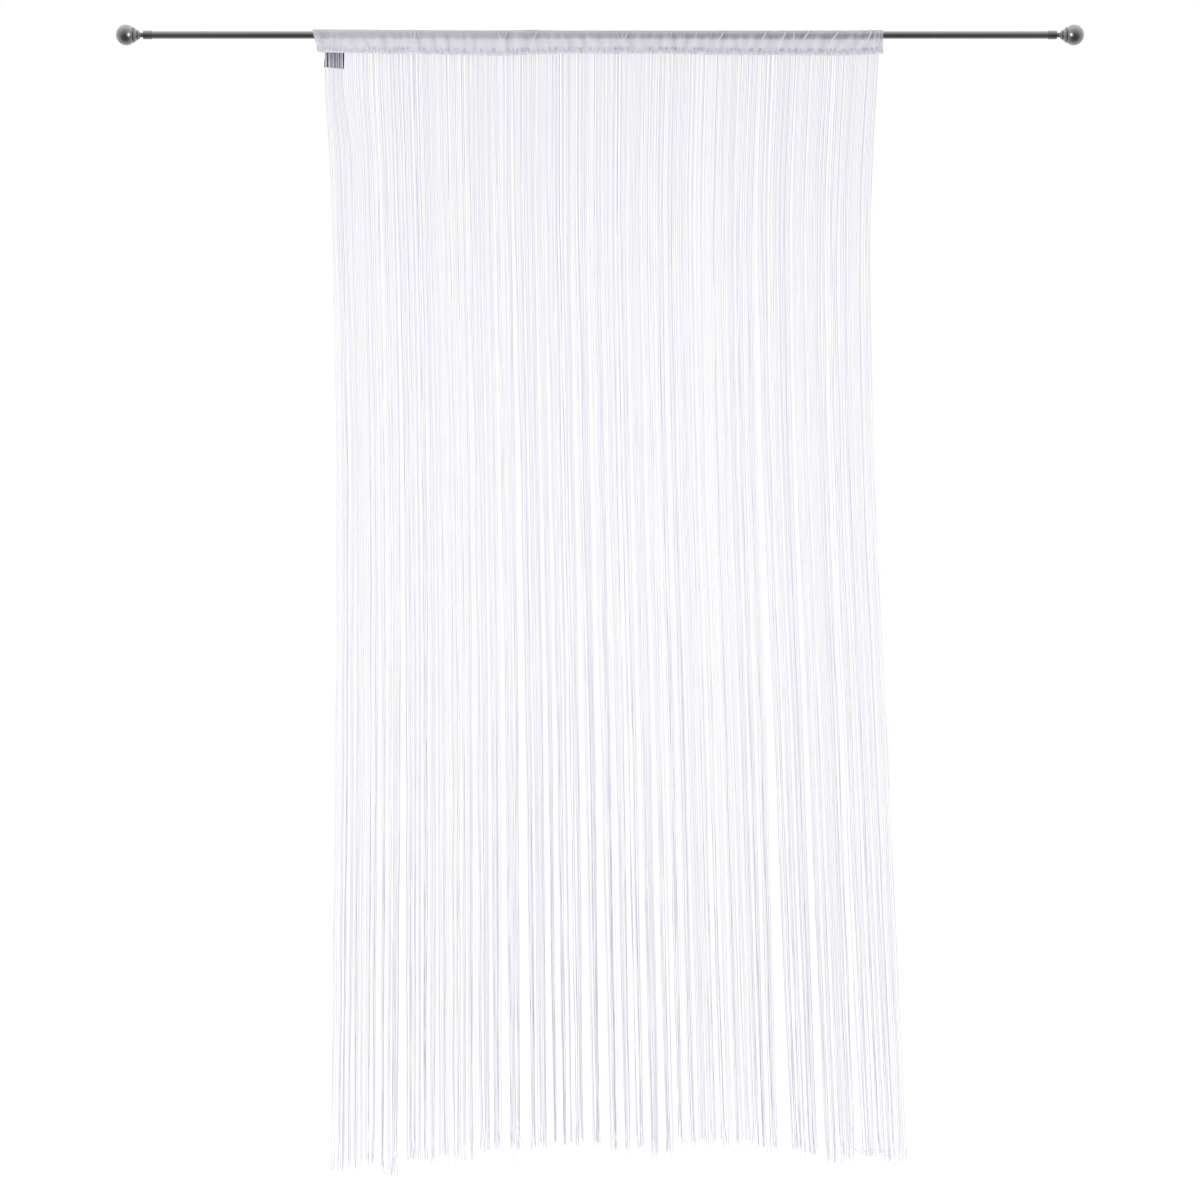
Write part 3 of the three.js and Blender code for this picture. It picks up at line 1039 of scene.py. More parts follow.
@dataclass
class TurnedPart:
    """A part turned about the rod's axis, as on a lathe.

    Attributes:
        name: The piece's name.
        side: The end of the rod that it is on.
        profile: How far out from the cap's face each point of its profile is, and its radius, from
            the axis back to the axis or round to where it starts.
        recesses: Its recesses, where shade is painted.
        bevel: Width of its broken edges.
        sides: Number of its sides.
        sharp: Least turn of an edge that is broken, in degrees.
        soft: Greatest turn of an edge that is shaded smooth, in degrees.
    """

    name: str
    side: Side
    profile: Profile
    recesses: Sequence[Recess] = ()
    bevel: float = 0.25
    sides: int = 80
    sharp: float = 35.0
    soft: float = 30.0

    def build(self) -> Piece:
        """Draws the profile by extruding it point by point, and spins it round the axis.

        Returns:
            The bare piece.
        """
        way = self.side.value
        places = [Vector((way * (CAP_FACE_X + out), 0, radius)) * MM for out, radius in self.profile]
        bpy.ops.mesh.primitive_plane_add(size=MM, location=places[0])
        part = settle(self.name)
        with editing(part, Pick.VERT):
            bpy.ops.mesh.select_all(action="SELECT")
            bpy.ops.mesh.merge(type="CENTER")
            for here, there in zip(places, places[1:]):
                bpy.ops.mesh.extrude_region_move(TRANSFORM_OT_translate={"value": there - here})
            bpy.ops.mesh.select_all(action="SELECT")
            bpy.ops.mesh.spin(steps=self.sides, angle=FULL_TURN, center=(0, 0, 0), axis=(1, 0, 0))
            bpy.ops.mesh.select_all(action="SELECT")
            bpy.ops.mesh.remove_doubles(threshold=WELD)
            bpy.ops.mesh.normals_make_consistent(inside=False)
        if self.bevel:
            break_edges(part, self.bevel, self.sharp)
        smooth(part, self.soft)
        # paints shade into the recesses
        self.dim(part)
        return part

    def dim(self, part: Piece) -> None:
        """Paints shade into the recesses: how dark each corner is, from its distance to them.

        Args:
            part: The piece.
        """
        places = np.array([abs(corner.co.x) / MM - CAP_FACE_X for corner in part.data.vertices])
        # painted shade, deepest in the middle of each recess
        recess_shade = np.zeros_like(places)
        for out, half, share in self.recesses:
            recess_shade = np.maximum(recess_shade, share * np.exp(-(((places - out) / half) ** 2)))
        paint(part, "recess", recess_shade)


@dataclass
class EndCap:
    """The pressed cup over one end of the rod, with a rolled bead at its mouth.

    Attributes:
        side: The end of the rod that it is on.
        hole: Radius of the hole that the finial's stud goes through.
        bore: Radius of its inside.
        wall: Thickness of its wall.
        plate: Thickness of its end plate.
        length: Its length along the rod.
        bead: How far the bead at its mouth stands proud, and its length.
        bead_steps: Number of points round the bead.
        corner: Radius of the pressed corner round its plate.
        corner_steps: Number of points round that corner.
    """

    side: Side
    hole: float = 3.3
    bore: float = 10.3
    wall: float = 1.0
    plate: float = 3.0
    length: float = 22.5
    bead: Pair = (0.45, 1.8)
    bead_steps: int = 7
    corner: float = 1.4
    corner_steps: int = 5

    def profile(self) -> Profile:
        """Lists the cup's section, from the hole in its plate along its inside and back outside.

        Returns:
            How far out each point is, and its radius.
        """
        outside = self.bore + self.wall
        proud, long = self.bead
        start = (0, self.hole)
        inside = [start, (-self.plate, self.hole), (-self.plate, self.bore), (-self.length, self.bore)]
        rolled = [
            (long / 2 * (1 - math.cos(turn)) - self.length, outside + proud * math.sin(turn))
            for turn in np.linspace(0, math.pi, self.bead_steps)
        ]
        pressed = [
            (-self.corner * (1 - math.sin(turn)), outside - self.corner * (1 - math.cos(turn)))
            for turn in np.linspace(0, RIGHT_ANGLE, self.corner_steps)
        ]
        return [*inside, *rolled, *pressed, start]

    def build(self) -> None:
        """Turns the cup and dresses it."""
        end = self.side.name.lower()
        part = TurnedPart(f"cap_{end}", self.side, self.profile())
        PRESSED_NICKEL.put_on(part.build(), f"end_cap_{end}")


@dataclass
class Finial:
    """A ball finial on two turned collars and a neck, with the stud that holds it.

    Attributes:
        side: The end of the rod that it is on.
        seat: Room between the neck and the cap.
        stud: Length and radius of the stud.
        neck: Radius of the neck.
        collars: The turning between the neck and the ball: how far out each point is, and its radius.
        recesses: Where shade is painted in its recesses.
        ball: Radius of the ball.
        ball_out: How far the ball's centre is out from the cap's face.
        foot: Radius where the ball meets its collar.
        ball_steps: Number of points round the ball's profile.
    """

    side: Side
    seat: float = 0.3
    stud: Pair = (24.0, 3.0)
    neck: float = 7.0
    collars: Profile = (
        (1.2, 6.4), (3.4, 6.0), (6.2, 6.3), (7.8, 7.2), (8.4, 8.4), (9.7, 9.6),
        (11.4, 11.3), (12.6, 12.2), (13.1, 12.0), (13.4, 10.8), (14.5, 10.8), (15.0, 12.9),
        (17.0, 14.2), (19.6, 16.1), (22.0, 18.2), (24.6, 20.3), (25.2, 20.1),
    )
    recesses: Sequence[Recess] = (
        Recess(4.0, 4.0, 0.5),
        Recess(13.9, 1.3, 0.8),
        Recess(23.6, 1.9, 0.75),
    )
    ball: float = 27.0
    ball_out: float = 45.0
    foot: float = 18.4
    ball_steps: int = 36

    def profile(self) -> Profile:
        """Lists the finial's profile, from the stud's end to the top of the ball.

        Returns:
            How far out each point is, and its radius.
        """
        length, radius = self.stud
        shank = [(-length, 0), (-length, radius), (self.seat, radius), (self.seat, self.neck)]
        first = math.asin(self.foot / self.ball)
        ball = [
            (self.ball_out - self.ball * math.cos(turn), self.ball * math.sin(turn))
            for turn in np.linspace(first, math.pi, self.ball_steps)
        ]
        return [*shank, *self.collars, *ball[:-1], (self.ball_out + self.ball, 0)]

    def build(self) -> Piece:
        """Turns the finial and dresses it.

        Returns:
            The finished piece.
        """
        end = self.side.name.lower()
        part = TurnedPart(f"ball_{end}", self.side, self.profile(), self.recesses, bevel=0)
        return PEARL_NICKEL.put_on(part.build(), f"finial_{end}")


@dataclass(frozen=True)
class PaintedClothShading:
    """The painted light and painted shade of each form of the band, as shares, and between which heights.

    Attributes:
        roll: Painted light on a soft roll.
        ripple: Painted light on a ripple, and as much painted shade beside it.
        pleat: Painted light on the small pleats below the stitch line.
        crown: Painted light over the rod.
        crown_at: Heights between which that comes in.
        trough: Painted shade in a trough, below the rod and then over it.
        trough_at: Heights between which that changes.
        beside: Painted shade beside a tuck.
        gather: Painted shade in a gather.
        below: Painted shade below the rod's axis, at the right end.
        sewn: Painted shade round the stitch line, at the left end and how much more at the right.
        sewn_from: Heights between which that comes in.
        sewn_to: Heights between which it goes again.
        taut: Painted shade where taut cloth shows the rod, at the left end and how much more at the right.
        taut_from: Heights between which that comes in.
        taut_to: Heights between which most of it goes again.
        taut_gone: Share of it that goes there.
        taut_roll: Share of it that goes on a soft roll.
    """

    roll: float = 0.6
    ripple: float = 0.4
    pleat: float = 1.5
    crown: float = 0.45
    crown_at: Pair = (0.5, 7.5)
    trough: Pair = (0.3, 0.16)
    trough_at: Pair = (-12.0, -6.0)
    beside: float = 0.2
    gather: float = 1.1
    below: float = 0.1
    sewn: Pair = (0.07, 0.1)
    sewn_from: Pair = (-31.0, -36.0)
    sewn_to: Pair = (-43.0, -48.0)
    taut: Pair = (0.02, 0.62)
    taut_from: Pair = (-12.5, -9.5)
    taut_to: Pair = (-3.0, 6.0)
    taut_gone: float = 0.95
    taut_roll: float = 0.5


@dataclass
class HeadingBand:
    """The heading band: one strip of voile, folded over the rod and stitched below it.

    Attributes:
        left: Place of its left end on the stitch line.
        right: Place of its right end there.
        left_lean: How far the top of the left end leans.
        loose_end: Length of the left end that the rod leaves unstretched, so that it leans evenly.
        lean_from: Shares of the way up between which the other columns lean.
        radius: Radius of the middle of the cloth over the rod.
        seam: Depth of the stitch line.
        tail: Length of the cloth below it.
        seam_gap: How far each layer stands off the middle at the stitch line.
        hem_gap: The same at its lower end.
        cloth: Thickness of the cloth.
        corner: Radius of the rounded lower corner at the left end.
        pitch: Widest spacing of the mesh's columns.
        rows: Number of its rows over the rod, down each flank and down each tail.
        seam_rows: How much closer together they get towards the stitch line.
        tuck_cloth: Width that a tuck takes up along the band.
        tuck_steps: Number of columns across a tuck.
        tuck_fade: Shares of the way up over which a tuck starts and ends.
        back_tucks: Shares of the way up between which the tucks come in at the back.
        full_fold: How far a tuck stands proud that is wholly folded over.
        pulled: Distance, half width and fade, a share of the way up, of the painted shade beside a tuck.
        wide: How far a wide tuck laps over.
        back_share: Share of the front's soft creases that shows at the back.
        crease_share: Share of their depth that they keep once the cloth is hung.
        deepest: Greatest depth of a trough, below zero.
        blunt: How much longer than its half width a soft crease's end is.
        room: How far a trough can go in before it meets the rod.
        gather: Depth of the gathers along the stitch line, and how far they spread up and down.
        gather_lean: How far a gather leans for each millimetre up.
        crowded: How crowded the gathers are at the left, and how much more at the right.
        crowded_at: Places between which that changes.
        pleat: Depth of the small pleats below the stitch line.
        pleat_from: Share of the tail above the stitch line at which they start.
        pleat_lean: How far one leans for each millimetre up.
        loose_at: Shares of the way up between which the loose cloth starts to rumple.
        tight_at: Shares of the way up between which it comes to lie tightly on the rod.
        loose_rumple: Height of the rumples in the loose cloth.
        tight_rumple: Height of the rumples and of the ripples on the rod.
        rumples: Pattern of the rumples.
        ripples: Pattern of the ripples.
        pinches: Pattern of the gathers.
        pleats: Pattern of the small pleats.
        slants: Pattern of the gathers' lean.
        pattern_start: Where on the patterns the crest lies.
        level: Depth of the section's lower edge, before it is drawn up or hangs down.
        tones: The painted light and painted shade of its forms.
    """

    left: float = -747.0
    right: float = 747.0
    left_lean: float = -13.0
    loose_end: float = 25.0
    lean_from: Pair = (0.3, 0.92)
    radius: float = 11.0
    seam: float = 36.0
    tail: float = 13.4
    seam_gap: float = 0.5
    hem_gap: float = 0.85
    cloth: float = 0.35
    corner: float = 6.0
    pitch: float = 1.8
    rows: tuple[int, int, int] = (16, 8, 5)
    seam_rows: float = 1.5
    tuck_cloth: float = 3.8
    tuck_steps: int = 9
    tuck_fade: Pair = (0.2, 0.42)
    back_tucks: Pair = (0.6, 1.0)
    full_fold: float = 2.0
    pulled: Triple = (5.0, 3.4, 0.2)
    wide: float = 3.4
    back_share: float = 0.5
    crease_share: float = 0.8
    deepest: float = -0.55
    blunt: float = 1.5
    room: float = 0.75
    gather: Pair = (0.62, 4.6)
    gather_lean: float = 0.6
    crowded: Pair = (0.1, 0.12)
    crowded_at: Pair = (-150.0, 50.0)
    pleat: float = 0.34
    pleat_from: float = 0.3
    pleat_lean: float = 0.1
    loose_at: Pair = (0.02, 0.22)
    tight_at: Pair = (0.5, 0.6)
    loose_rumple: float = 0.3
    tight_rumple: Pair = (0.15, 0.2)
    rumples: Unevenness = Unevenness(5, (9.0, 14.0))
    ripples: Unevenness = Unevenness(6, (3.2, 12.0))
    pinches: Unevenness = Unevenness(11, (4.2, 40.0))
    pleats: Unevenness = Unevenness(12, (2.7, 30.0))
    slants: Unevenness = Unevenness(13, (14.0, 40.0))
    pattern_start: float = 100.0
    level: float = 50.0
    tones: PaintedClothShading = PaintedClothShading()

    @property
    def tangent(self) -> float:
        """Angle below the rod's axis at which a flank leaves the rod."""
        return math.asin(self.radius / self.seam)

    @property
    def over(self) -> float:
        """Length of cloth from the crest to where a flank starts."""
        return self.radius * (RIGHT_ANGLE + self.tangent)

    @property
    def flank(self) -> float:
        """Length of a flank, from the rod to the stitch line."""
        return math.sqrt(self.seam**2 - self.radius**2)

    def lengths(self) -> ndarray:
        """Lists how far along the cloth each row is from the crest, with the back below zero.

        Returns:
            The length for each row, from the lower edge of the back to that of the front.
        """
        arc, flank, tail = self.rows
        down = 1 - (1 - np.linspace(0, 1, flank, endpoint=False)) ** self.seam_rows
        on_rod = np.linspace(0, self.over, arc // 2, endpoint=False)
        below = np.linspace(0, self.tail, tail) + self.over + self.flank
        side = np.concatenate([on_rod, self.over + self.flank * down, below])
        return np.concatenate([-side[:0:-1], side])

    def columns(self) -> tuple[ndarray, ndarray, ndarray, ndarray]:
        """Lists the columns of the mesh, close together in each tuck.

        Returns:
            Each column's place on the stitch line, its lean, its share of the way across its tuck
            and the number of that tuck, or that of no tuck.
        """
        half = self.tuck_cloth / 2
        knots = [(self.left, self.left_lean)]
        for tuck in TUCKS:
            knots += [(tuck.at - half, tuck.lean), (tuck.at + half, tuck.lean)]
        knots.append((self.right, 0.0))
        columns = []
        for number, ((start, lean), (end, next_lean)) in enumerate(zip(knots, knots[1:])):
            in_tuck = number % 2
            count = self.tuck_steps if in_tuck else max(1, math.ceil((end - start) / self.pitch))
            share = np.arange(count) / count
            tuck = number // 2 if in_tuck else NO_TUCK
            run = (start + share * (end - start), lean + share * (next_lean - lean), share * in_tuck, tuck)
            columns.append(np.stack(np.broadcast_arrays(*run)))
        columns.append([[self.right], [0.0], [0.0], [NO_TUCK]])
        places, leans, shares, tucks = np.concatenate(columns, 1)
        return places, leans, shares, tucks.astype(int)

    def section(self, lengths: ndarray) -> tuple[ndarray, ndarray, ndarray, ndarray]:
        """Gives the band's section, and the way that its outside faces.

        Args:
            lengths: How far along the cloth from the crest, with the back below zero.

        Returns:
            Y and Z of each place, and those of the unit normal there.
        """
        way = np.where(lengths > 0, -1.0, 1.0)
        far = np.abs(lengths)
        angle = np.minimum(far, self.over) / self.radius
        down = np.clip((far - self.over) / self.flank, 0, 1)
        tail = self.tail_share(lengths)
        foot, low = self.radius * math.cos(self.tangent), -self.radius * math.sin(self.tangent)
        across = np.where(far < self.over, self.radius * np.sin(angle), foot)
        across = across + down * (self.seam_gap - foot) + tail * (self.hem_gap - self.seam_gap)
        up = np.where(far < self.over, self.radius * np.cos(angle), low)
        up = up - down * self.flank * math.cos(self.tangent) - tail * self.tail
        out = np.where(far < self.over + self.flank, np.sin(angle), 1.0)
        rise = np.where(far < self.over + self.flank, np.cos(angle), 0.0)
        return way * across, up, way * out, rise

    def climb(self, lengths: ndarray) -> ndarray:
        """Gives the share of the way up from the stitch line to the crest."""
        return 1 - np.clip(np.abs(lengths) / (self.over + self.flank), 0, 1)

    def tail_share(self, lengths: ndarray) -> ndarray:
        """Gives the share of the way down the cloth below the stitch line."""
        return np.clip((np.abs(lengths) - self.over - self.flank) / self.tail, 0, 1)

    def gathers(self, x: ndarray, height: ndarray | float) -> ndarray:
        """Gives how far the gathers along the stitch line push the cloth to the back.

        Args:
            x: The places.
            height: Height above the stitch line.

        Returns:
            The push at each place.
        """
        depth, spread = self.gather
        few, more = self.crowded
        slanted = x + self.gather_lean * height * self.slants.at(x, 0.0)
        crowded = few + more * ramp(x, *self.crowded_at)
        pinch = np.maximum(self.pinches.at(slanted, 0.0) + crowded, 0)
        return depth * pinch * np.exp(-((height / spread) ** 2)) + self.teeth(x, height)

    def teeth(self, x: ndarray, height: ndarray | float) -> ndarray:
        """Gives how far the small upright pleats below the stitch line push the cloth to the back."""
        below = eased(self.pleat_from - height / self.tail)
        return self.pleat * below * self.pleats.at(x + self.pleat_lean * height, height)

    def sag(self, x: ndarray, up: ndarray) -> ndarray:
        """Gives how far the band is drawn up or hangs down at a place."""
        rise = np.clip((up + self.seam) / self.seam, 0, 1)
        return (self.level - along(BAND_RUN, "at", "edge", x)) * (1 - rise)

    def tuck_shape(self, shares: ndarray, tucks: ndarray, lengths: ndarray) -> tuple[ndarray, ...]:
        """Works out how the tucks lie.

        Args:
            shares: Each column's share of the way across its tuck.
            tucks: The number of its tuck.
            lengths: How far along the cloth from the crest each row is, as a column.

        Returns:
            For each row and column: how far the cloth laps over along the rod, how far it stands
            proud, and how much of a fold it is, from zero to one.
        """
        climb = self.climb(lengths)
        _, _, over, proud, low, high = np.array(TUCKS)[tucks].T
        strong = between(climb, low, high, self.tuck_fade)
        strong = strong * np.where(lengths < 0, ramp(climb, *self.back_tucks), 1.0)
        bump = np.where(tucks == NO_TUCK, 0.0, np.sin(math.pi * shares) ** 2) * strong
        return bump * over, bump * proud, np.sqrt(bump) * np.minimum(proud / self.full_fold, 1)

    def beside_tucks(self, places: ndarray, lengths: ndarray) -> ndarray:
        """Gives the painted shade on both sides of the tucks that pull the cloth up.

        Args:
            places: Place of each column on the stitch line.
            lengths: How far along the cloth from the crest each row is, as a column.

        Returns:
            For each row and column a value from zero to about one.
        """
        climb = self.climb(lengths)
        off, half, fade = self.pulled
        hollow = np.zeros((len(lengths), len(places)))
        for tuck in TUCKS:
            strong = between(climb, tuck.low, tuck.high, (fade, fade))
            aside = (np.abs(places - tuck.at) - off) / half
            hollow = np.maximum(hollow, strong * np.exp(-(aside**2)) * abs(tuck.over) / self.wide)
        return hollow

    def soft_shape(self, x: ndarray, z: ndarray) -> ndarray:
        """Works out how far the soft creases stand proud at the front, below zero in a trough.

        Args:
            x: The places.
            z: Their heights.

        Returns:
            How far each place stands proud.
        """
        proud = np.zeros_like(x)
        for crease in SOFT_CREASES:
            run = np.array([crease.x_foot - crease.x_top, crease.z_foot - crease.z_top])
            long = math.hypot(*run)
            ahead = ((x - crease.x_top) * run[0] + (z - crease.z_top) * run[1]) / long
            beside = ((x - crease.x_top) * run[1] - (z - crease.z_top) * run[0]) / long
            past = np.maximum(np.maximum(-ahead, ahead - long), 0)
            spread = (beside / crease.half) ** 2 + (past / (self.blunt * crease.half)) ** 2
            proud = proud + crease.proud * np.exp(-spread)
        return proud

    def rumpled(self, x: ndarray, lengths: ndarray) -> ndarray:
        """Gives how far the small rumples and ripples stand proud.

        Args:
            x: The places.
            lengths: How far along the cloth from the crest they are.

        Returns:
            How far each place stands proud.
        """
        climb = self.climb(lengths)
        loose, tight = ramp(climb, *self.loose_at), ramp(climb, *self.tight_at)
        rumple = self.rumples.at(x, lengths + self.pattern_start)
        ripple = self.ripples.at(x, lengths + self.pattern_start)
        on_rod = self.tight_rumple[0] * rumple + self.tight_rumple[1] * ripple
        return loose * (1 - tight) * self.loose_rumple * rumple + tight * on_rod

    def build(self) -> None:
        """Weaves, folds and hangs the band."""
        lengths = self.lengths()[:, None]
        places, leans, shares, tucks = self.columns()
        y, z, out, rise = self.section(lengths)
        lap, proud, fold = self.tuck_shape(shares, tucks, lengths)
        taut = eased((places - self.left) / self.loose_end)
        climb = self.climb(lengths)
        x = places + leans * (ramp(climb, *self.lean_from) * taut + climb * (1 - taut)) + lap
        crest = along(BAND_RUN, "at", "crest", places)
        lift = (crest - self.cloth / 2 - self.radius) * np.maximum(z, 0) / self.radius
        soft = self.soft_shape(x, z) * np.where(lengths > 0, 1.0, self.back_share)
        small = self.rumpled(x, lengths)
        wanted = proud + np.maximum(soft * self.crease_share, self.deepest) + small
        off = np.where(wanted < 0, self.room * np.tanh(wanted / self.room), wanted)
        gathers = self.gathers(x, z + self.seam)
        left_end = np.clip(1 - (places - self.left) / self.corner, 0, 1)
        rounded = self.corner * (1 - np.sqrt(1 - left_end**2)) * self.tail_share(lengths)
        raised = z + rise * off + lift + self.sag(places, z) + rounded
        points = np.stack(np.broadcast_arrays(x, y + out * off + gathers, raised), -1)
        flat = np.stack(np.meshgrid(places, lengths), -1)
        # the painted light and painted shade for the cloth's colour, from its folds, creases and gathers
        beside = self.beside_tucks(places, lengths)
        painted = self.shade(x, z, fold, soft, small, gathers, beside)
        band = cloth_piece("header_cloth", points, flat, self.cloth, **painted)
        VOILE.put_on(band, "header")

    def shade(
        self, x: ndarray, z: ndarray, fold: ndarray, soft: ndarray, small: ndarray, gathers: ndarray,
        beside: ndarray,
    ) -> dict[str, ndarray]:
        """Works out paler folds, painted light on raised cloth and painted shade in hollows and on taut
        cloth.

        Args:
            x: Place of each corner.
            z: Height of each row.
            fold: How much of a fold each corner is in.
            soft: How far the soft creases stand proud there.
            small: How far the small rumples stand proud there.
            gathers: How far the gathers push the cloth there.
            beside: The painted shade beside a tuck.

        Returns:
            The painted light with the paler folds, the painted shade and the folded layers, by name.
        """
        tones = self.tones
        right = ramp(x, self.left, self.right)
        teeth = self.teeth(x, z + self.seam)
        # paler: paler where the cloth lies double, and painted light where it stands up or lies over the
        # rod
        paler = fold + np.maximum(soft, 0) * tones.roll + np.maximum(small, 0) * tones.ripple
        paler = paler + np.maximum(-teeth, 0) * tones.pleat + tones.crown * ramp(z, *tones.crown_at)
        below, over = tones.trough
        trough = below + (over - below) * ramp(z, *tones.trough_at)
        on_rod = ramp(z, *tones.taut_from) * (1 - tones.taut_gone * ramp(z, *tones.taut_to))
        taut = on_rod * (tones.taut[0] + tones.taut[1] * right) * (1 - fold)
        # darker: painted shade in troughs, gathers and ripples, beside tucks and where the rod shows
        # through
        darker = np.maximum(-soft, 0) * trough + np.maximum(-small, 0) * tones.ripple
        darker = darker + beside * tones.beside + np.maximum(gathers, 0) * tones.gather
        darker = darker + taut * (1 - np.clip(soft, 0, 1) * tones.taut_roll) + tones.below * right * (z < 0)
        sewn = ramp(z, *tones.sewn_from) * (1 - ramp(z, *tones.sewn_to))
        darker = darker + sewn * (tones.sewn[0] + tones.sewn[1] * right)
        return {"fold": paler, "hollow": darker, "layers": fold}


@dataclass
class RootStrip:
    """The narrow knitted strip along the band's lower edge that the strings' roots are worked into.

    Attributes:
        band: The heading band that it is knitted to.
        strings: Number of roots.
        ends: How far in from the band's left and right end it starts and stops.
        height: Its height.
        off: How far its middle stands off the middle of the band at its lower edge.
        top_off: The same at its upper edge.
        rib: How far each root stands proud.
        loop_share: How far the loops stand proud, as a share of that.
        steps: Columns of the mesh for each root.
        rows: Rows up each side and round the lower edge.
        yarn: Thickness of the strip.
        loops: Pattern of the loops.
        ragged: Pattern of the ragged upper edge.
        usual: Usual tone, from the pale colour to the darker one.
        on_rib: How much painted light makes a rib paler.
        in_gather: How much painted shade each millimetre of a gather gets.
        at_right: How much duller the right half is.
    """

    band: HeadingBand
    strings: int
    ends: Pair = (3.6, 0.4)
    height: float = 6.0
    off: float = 1.15
    top_off: float = 0.66
    rib: float = 0.22
    loop_share: float = 0.8
    steps: int = 4
    rows: tuple[int, int] = (6, 3)
    yarn: float = 0.3
    loops: Unevenness = Unevenness(21, (2.2, 3.0))
    ragged: Unevenness = Unevenness(22, (3.0, 3.0))
    usual: float = 0.22
    on_rib: float = 0.1
    in_gather: float = 1.6
    at_right: float = 0.15

    def build(self) -> None:
        """Knits the strip and dresses it."""
        up, under = self.rows
        left, right = self.band.left + self.ends[0], self.band.right - self.ends[1]
        x = np.linspace(left, right, self.strings * self.steps + 1)
        low = -self.band.level + self.off
        side = np.linspace(low + self.height, low, up)
        turn = np.linspace(0, math.pi, under + 2)[1:-1]
        stand = np.linspace(self.top_off, self.off, up)
        y = np.concatenate([-stand, -np.cos(turn) * self.off, stand[::-1]])[:, None]
        z = np.concatenate([side, low - self.off * np.sin(turn), side[::-1]])[:, None]
        ribs = np.cos(FULL_TURN * np.arange(len(x)) / self.steps)
        proud = 1 + self.rib * ribs / self.off
        loops = self.loops.at(x, z) * self.rib * self.loop_share
        ragged = self.ragged.at(x, 0.0) * (z - low) / self.height
        hem = self.band.level - along(BAND_RUN, "at", "edge", x)
        gathers = self.band.gathers(x, z + self.band.seam)
        across = y * proud + np.sign(y) * loops + gathers
        points = np.stack(np.broadcast_arrays(x, across, z + hem + ragged), -1)
        around = np.cumsum(np.hypot(np.diff(y, axis=0, prepend=y[:1]), np.diff(z, axis=0, prepend=z[:1])))
        flat = np.stack(np.meshgrid(x, around), -1)
        # tone: painted light on the ribs and painted shade in the gathers, on the usual tone and a darker
        # right half
        tone = self.usual - self.on_rib * ribs + self.in_gather * gathers + self.at_right * (x > 0)
        strip = cloth_piece("root_strip", points, flat, self.yarn, tone=tone)
        SELVEDGE.put_on(strip, "strings")


@dataclass
class StitchLine:
    """The row of lockstitches that closes the rod pocket, on one face of the band.

    Attributes:
        band: The heading band that it is sewn through.
        face: The layer of the band that it shows on.
        pitch: Spacing of the stitches.
        length: Length of a stitch.
        thread: Radius of the thread.
        sides: Number of sides of the thread.
        bend: Share of its length, from its middle, at which a stitch bends down.
        reach: The same for what has gone down into the cloth.
        dip: How far its ends go down.
        raised: Share of the thread's radius by which it stands off the cloth.
        unsewn: How many stitches fewer than would fit between the band's ends.
        soft: Greatest turn of an edge that is shaded smooth, in degrees.
        pattern: Pattern of the thread's tone.
    """

    band: HeadingBand
    face: Face
    pitch: float = 3.0
    length: float = 2.3
    thread: float = 0.2
    sides: int = 6
    bend: float = 0.3
    reach: float = 0.45
    dip: float = 0.42
    raised: float = 0.6
    unsewn: int = 3
    soft: float = 60.0
    pattern: Unevenness = Unevenness(31, (9.0, 9.0))

    def one_stitch(self) -> Piece:
        """Models the first stitch: a length of thread that goes down into the cloth at both ends.

        Returns:
            The stitch.
        """
        start = (self.band.left + 2 * self.pitch) * MM
        length = self.length * MM
        bpy.ops.mesh.primitive_cylinder_add(
            vertices=self.sides,
            radius=self.thread * MM,
            depth=length,
            end_fill_type="TRIFAN",
            location=(start, 0, 0),
            rotation=(0, RIGHT_ANGLE, 0),
        )
        stitch = settle(f"stitches_{self.face.name.lower()}")
        with editing(stitch, Pick.VERT):
            for share in (-self.bend, self.bend):
                bpy.ops.mesh.select_all(action="SELECT")
                bpy.ops.mesh.bisect(plane_co=(start + share * length, 0, 0), plane_no=(1, 0, 0))
            select(stitch, Pick.VERT, lambda corner: abs(corner.co.x - start) > self.reach * length)
            bpy.ops.transform.translate(value=(0, -self.face.value * self.dip * MM, 0))
        return stitch

    def build(self) -> None:
        """Repeats the stitch along the seam, lays the row on the cloth and dresses it."""
        row = self.one_stitch()
        apply_modifier(
            row,
            "ARRAY",
            count=int((self.band.right - self.band.left) / self.pitch) - self.unsewn,
            use_relative_offset=False,
            use_constant_offset=True,
            constant_offset_displace=(self.pitch * MM, 0, 0),
        )
        places = np.zeros((len(row.data.vertices), 3))
        row.data.vertices.foreach_get("co", places.ravel())
        x = places[:, 0] / MM
        seam = np.full_like(x, -self.band.seam)
        off = self.band.seam_gap + self.band.cloth / 2 + self.thread * self.raised
        places[:, 1] += (self.face.value * off + self.band.gathers(x, 0.0)) * MM
        places[:, 2] += (seam + self.band.sag(x, seam)) * MM
        row.data.vertices.foreach_set("co", places.ravel())
        paint(row, "tone", (1 + self.pattern.at(x, seam)) / 2)
        give_map(row, np.zeros((len(row.data.loops), 2)))
        smooth(row, self.soft)
        SEWING_THREAD.put_on(row)


@dataclass
class Lines:
    """The lines that the strings follow, with a row for each string and a column for each ring.

    Attributes:
        travel: How far down its string each ring is.
        down: Its depth.
        x: Its place.
        y: Its place from front to back.
    """

    travel: ndarray
    down: ndarray
    x: ndarray
    y: ndarray


